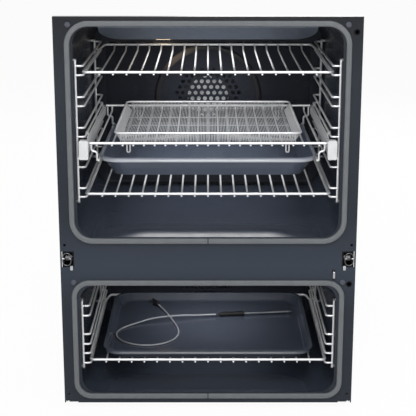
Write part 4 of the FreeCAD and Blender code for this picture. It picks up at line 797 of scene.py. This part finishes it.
# Tray cove: the round inner edge between the tray's floor and its sloping sides, drawn with it from one
# sheet and in the same enamel. Its section is given as distance in from the floor's edge, and height.
SHEET = 0.0012
COVE = [(0.0004, 0.0042), (0.0007, 0.0021), (0.0018, 0.0008), (0.0036, 0.0002), (0.0060, 0.00005),
        (0.0060, -0.0003), (-0.0020, -0.0003)]
FLOOR_EDGE = 0.0142
SIDE_LEAN = 0.444
COVE_CORNER = 0.043
low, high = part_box("baking_tray")
cove = bmesh.new()
rings = []
for inset, rise in COVE:
    gap = FLOOR_EDGE + inset - max(rise, 0) * SIDE_LEAN
    spots = [cove.verts.new(spot) for spot in rounded_path(
        high.x - gap, low.y + gap, high.y - gap, COVE_CORNER - gap, low.z + SHEET + rise)]
    rings.append([cove.edges.new(pair) for pair in zip(spots, spots[1:] + spots[:1])])
for first, second in zip(rings, rings[1:] + rings[:1]):
    bmesh.ops.bridge_loops(cove, edges=first + second)
piece("tray_cove", cove, tray_enamel, "baking_tray", 50)

# Food probe: a thin lead with a steel braid that lies in a loose loop on the tray, from its plug to the
# black ringed handle, which is moulded round it and the steel needle.
LEAD_WIDTH = 0.003
TRAY_FLOOR = 0.0893
LEAD_POINTS = [
    (-0.1095, 0.3365, 0.0049), (-0.098, 0.313, 0.0026), (-0.0885, 0.288, 0.0018), (-0.0775, 0.252, 0.0018),
    (-0.0665, 0.214, 0.0018), (-0.060, 0.178, 0.0018), (-0.064, 0.146, 0.0018), (-0.080, 0.119, 0.0018),
    (-0.104, 0.104, 0.0018), (-0.130, 0.101, 0.0018), (-0.157, 0.1095, 0.0018), (-0.178, 0.1285, 0.0018),
    (-0.190, 0.154, 0.0018), (-0.190, 0.1805, 0.0018), (-0.177, 0.2055, 0.0018), (-0.151, 0.227, 0.0030),
    (-0.116, 0.2465, 0.0080), (-0.060, 0.261, 0.0080), (-0.027, 0.267, 0.0058), (0.0011, 0.2716, 0.0053)]
HANDLE_START = Vector((0.0269, -0.0003, 0.0946))
HANDLE_TURN = math.radians(6.9)
HANDLE_NECK = 0.010
handle_axis = Vector((math.cos(HANDLE_TURN), math.sin(HANDLE_TURN), 0))
lead_exit = HANDLE_START - HANDLE_NECK * handle_axis
route = [Vector((x, FRONT_PLANE + depth, TRAY_FLOOR + lift)) for x, depth, lift in LEAD_POINTS]
route.append(lead_exit)
lead_curve = bpy.data.curves.new("probe_lead_braid", "CURVE")
lead_curve.dimensions = "3D"
lead_curve.bevel_depth = LEAD_WIDTH / 2
lead_curve.bevel_resolution = 3
lead_curve.use_fill_caps = True
lead_curve.resolution_u = 10
spline = lead_curve.splines.new("NURBS")
spline.points.add(len(route) - 1)
for point, spot in zip(spline.points, reversed(route)):
    point.co = (*spot, 1)
spline.order_u = 3
spline.use_endpoint_u = True
lead = bpy.data.objects.new("probe_lead_braid", lead_curve)
bpy.context.collection.objects.link(lead)
braid = Finish("braid", metallic=0.3)
strand = braid.place.cells(2200)
lead_curve.materials.append(braid.feed(
    base_color=strand.between(shade(178, 179, 182), shade(114, 116, 120)),
    roughness=strand * 0.25 + 0.3,
    normal=(1 - strand).relief(0.0002)))
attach(lead, "probe")
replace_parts(lead, "probe_lead")


def turned(name, profile, start, axis, material):
    """Spins a profile of (distance along, radius) points about the axis that leaves start."""
    shape = bmesh.new()
    spine = [shape.verts.new((radius, 0, along)) for along, radius in profile]
    edges = [shape.edges.new(pair) for pair in zip(spine, spine[1:])]
    bmesh.ops.spin(shape, geom=spine + edges, cent=(0, 0, 0), axis=(0, 0, 1), angle=2 * math.pi,
                   steps=32, use_merge=True)
    bmesh.ops.remove_doubles(shape, verts=shape.verts, dist=1e-6)
    turn = Vector((0, 0, 1)).rotation_difference(Vector(axis)).to_matrix().to_4x4()
    bmesh.ops.transform(shape, matrix=Matrix.Translation(start) @ turn, verts=shape.verts)
    return piece(name, shape, material, "probe", 40)


HANDLE_LENGTH = 0.052
HANDLE_RADIUS = 0.005
GRIP_RINGS = 9
RING_START = 0.008
RING_PITCH = 0.0038
RING_DEPTH = 0.0005
grip = [(-HANDLE_NECK, 0), (-HANDLE_NECK, 0.0019), (-HANDLE_NECK * 0.5, 0.0022), (-0.0006, 0.0030),
        (0, 0.0034), (0.0012, 0.0046), (0.0024, HANDLE_RADIUS)]
for number in range(GRIP_RINGS):
    ring = RING_START + number * RING_PITCH
    grip += [(ring, HANDLE_RADIUS), (ring + 0.0005, HANDLE_RADIUS - RING_DEPTH),
             (ring + 0.0011, HANDLE_RADIUS - RING_DEPTH), (ring + 0.0016, HANDLE_RADIUS)]
grip += [(HANDLE_LENGTH - 0.0034, HANDLE_RADIUS), (HANDLE_LENGTH - 0.0012, 0.0044), (HANDLE_LENGTH, 0.0032),
         (HANDLE_LENGTH, 0)]
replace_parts(turned("probe_grip", grip, HANDLE_START, handle_axis, black_plastic), "probe_handle")

# Probe plug: a body of black plastic, moulded round the lead's end, with a groove for the fingers and a
# short ringed jack.
PLUG_RADIUS = 0.0045
PLUG_LENGTH = 0.020
JACK_RADIUS = 0.00315
JACK_LENGTH = 0.014
JACK_GROOVE = 0.0004
plug_axis = (route[0] - route[1]).normalized()
body = [(0, 0), (0, 0.0022), (0.0016, 0.0034), (0.0026, PLUG_RADIUS), (0.0060, PLUG_RADIUS),
        (0.0066, PLUG_RADIUS - 0.0006), (0.0078, PLUG_RADIUS - 0.0006), (0.0084, PLUG_RADIUS),
        (0.0185, PLUG_RADIUS), (PLUG_LENGTH, PLUG_RADIUS - 0.0008), (PLUG_LENGTH, JACK_RADIUS)]
body += [(PLUG_LENGTH + JACK_LENGTH * share, radius) for share, radius in (
    (0.55, JACK_RADIUS), (0.58, JACK_RADIUS - JACK_GROOVE), (0.66, JACK_RADIUS - JACK_GROOVE),
    (0.69, JACK_RADIUS), (0.88, JACK_RADIUS), (1, 0.0014), (1, 0))]
plug = turned("probe_plug_body", body, route[0], plug_axis, black_plastic)
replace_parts(plug, "probe_plug")

# Floor: a wide pale sheet under the oven, white to the eye, with only a trace of the oven's soft shadow
# left in it.
FLOOR_SIZE = 60
FLOOR_WHITE = 0.95
sheet = bmesh.new()
bmesh.ops.create_grid(sheet, x_segments=1, y_segments=1, size=FLOOR_SIZE / 2)
floor_mesh = bpy.data.meshes.new("floor")
sheet.to_mesh(floor_mesh)
sheet.free()
floor = bpy.data.objects.new("floor", floor_mesh)
floor.location.z = cad_box[0][2] - 0.0002
bpy.context.collection.objects.link(floor)
pale = bpy.data.materials.new("pale_floor")
pale.use_nodes = True
pale.node_tree.nodes.clear()


def looking(tree):
    """1 for the rays that see a surface, straight or in a mirror, and 0 for those that light it."""
    rays = tree.nodes.new("ShaderNodeLightPath").outputs
    seen = [Socket(rays[f"Is {kind} Ray"]) for kind in ("Camera", "Glossy", "Transmission")]
    return (seen[0] + seen[1] + seen[2]).clamp()


seen = looking(pale.node_tree)
lit = seen.node("BsdfDiffuse", {"Color": (0.9, 0.9, 0.9, 1)})
white = seen.node("Emission", {"Color": (1, 1, 1, 1), "Strength": 1.0})
seen.node("OutputMaterial", {"Surface": seen.node(
    "MixShader", {0: seen * FLOOR_WHITE, 1: lit, 2: white})})
floor_mesh.materials.append(pale)

# Light: a large soft box above the camera, one in front, a wide one at each side and one behind, in a
# pale room, with faint glows in both ovens where light from the room is thrown back and forth.
world = bpy.data.worlds.new("pale_room")
bpy.context.scene.world = world
world.use_nodes = True
world.node_tree.nodes.clear()
ROOM_LEVEL = 0.3
open_view = looking(world.node_tree)
open_view.node("OutputWorld", {"Surface": open_view.node(
    "Background", {"Color": (1, 1, 1, 1), "Strength": open_view * (1 - ROOM_LEVEL) + ROOM_LEVEL})})


def soft_box(name, place, aim, size, power, mirrored=True):
    """A square area light at place, facing aim, out of the camera's sight and, if need be, of mirrors'."""
    light = bpy.data.lights.new(name, "AREA")
    light.size = size
    light.energy = power
    lamp = bpy.data.objects.new(name, light)
    lamp.location = place
    lamp.visible_camera = False
    lamp.visible_glossy = mirrored
    lamp.rotation_euler = (Vector(aim) - Vector(place)).to_track_quat("-Z", "Y").to_euler()
    bpy.context.collection.objects.link(lamp)


MIDDLE = (0, 0, 0.38)
soft_box("top_light", (0, -2.0, 2.6), MIDDLE, 1.0, 45)
soft_box("front_light", (0, -3.2, 1.35), MIDDLE, 0.8, 32)
soft_box("left_light", (-2.4, -1.6, 1.2), MIDDLE, 1.4, 6)
soft_box("right_light", (2.4, -1.6, 1.2), MIDDLE, 1.4, 6)
soft_box("back_light", (0.6, 2.6, 1.9), MIDDLE, 1.6, 40)
soft_box("upper_roof_glow", (0, -0.04, 0.676), (0, -0.05, 0), 0.24, 0.9, False)
soft_box("pan_glow", (0, -0.08, 0.4976), (0, -0.08, 0), 0.28, 0.24, False)
soft_box("upper_floor_glow", (0, 0.0, 0.452), (0, 0.0, 0), 0.34, 1.0, False)
soft_box("lower_roof_glow", (0, -0.05, 0.235), (0, -0.05, 0), 0.16, 0.75, False)
soft_box("lower_floor_glow", (0, -0.1, 0.082), (0, -0.1, 0), 0.24, 0.18, False)
glow = bpy.data.lights.new("upper_lamp_glow", "POINT")
glow.energy = 0.16
glow.color = (1.0, 0.74, 0.46)
glow.shadow_soft_size = 0.012
lamp = bpy.data.objects.new("upper_lamp_glow", glow)
lamp.location = (lens_middle, 0.06, lens_high.z + 0.03)
lamp.visible_camera = False
bpy.context.collection.objects.link(lamp)

# Camera: a long lens a little above the oven, two metres in front of it, looking down at the middle of
# its front.
CAMERA_PLACE = Vector((0, -2.375, 0.965))
CAMERA_AIM = Vector((0, -0.275, 0.406))
view = bpy.data.cameras.new("front_view")
view.sensor_width = 36
view.lens = 100.5
camera = bpy.data.objects.new("front_view", view)
camera.location = CAMERA_PLACE
camera.rotation_euler = (CAMERA_AIM - CAMERA_PLACE).to_track_quat("-Z", "Y").to_euler()
bpy.context.collection.objects.link(camera)
bpy.context.scene.camera = camera
bpy.context.scene.view_settings.view_transform = "Standard"
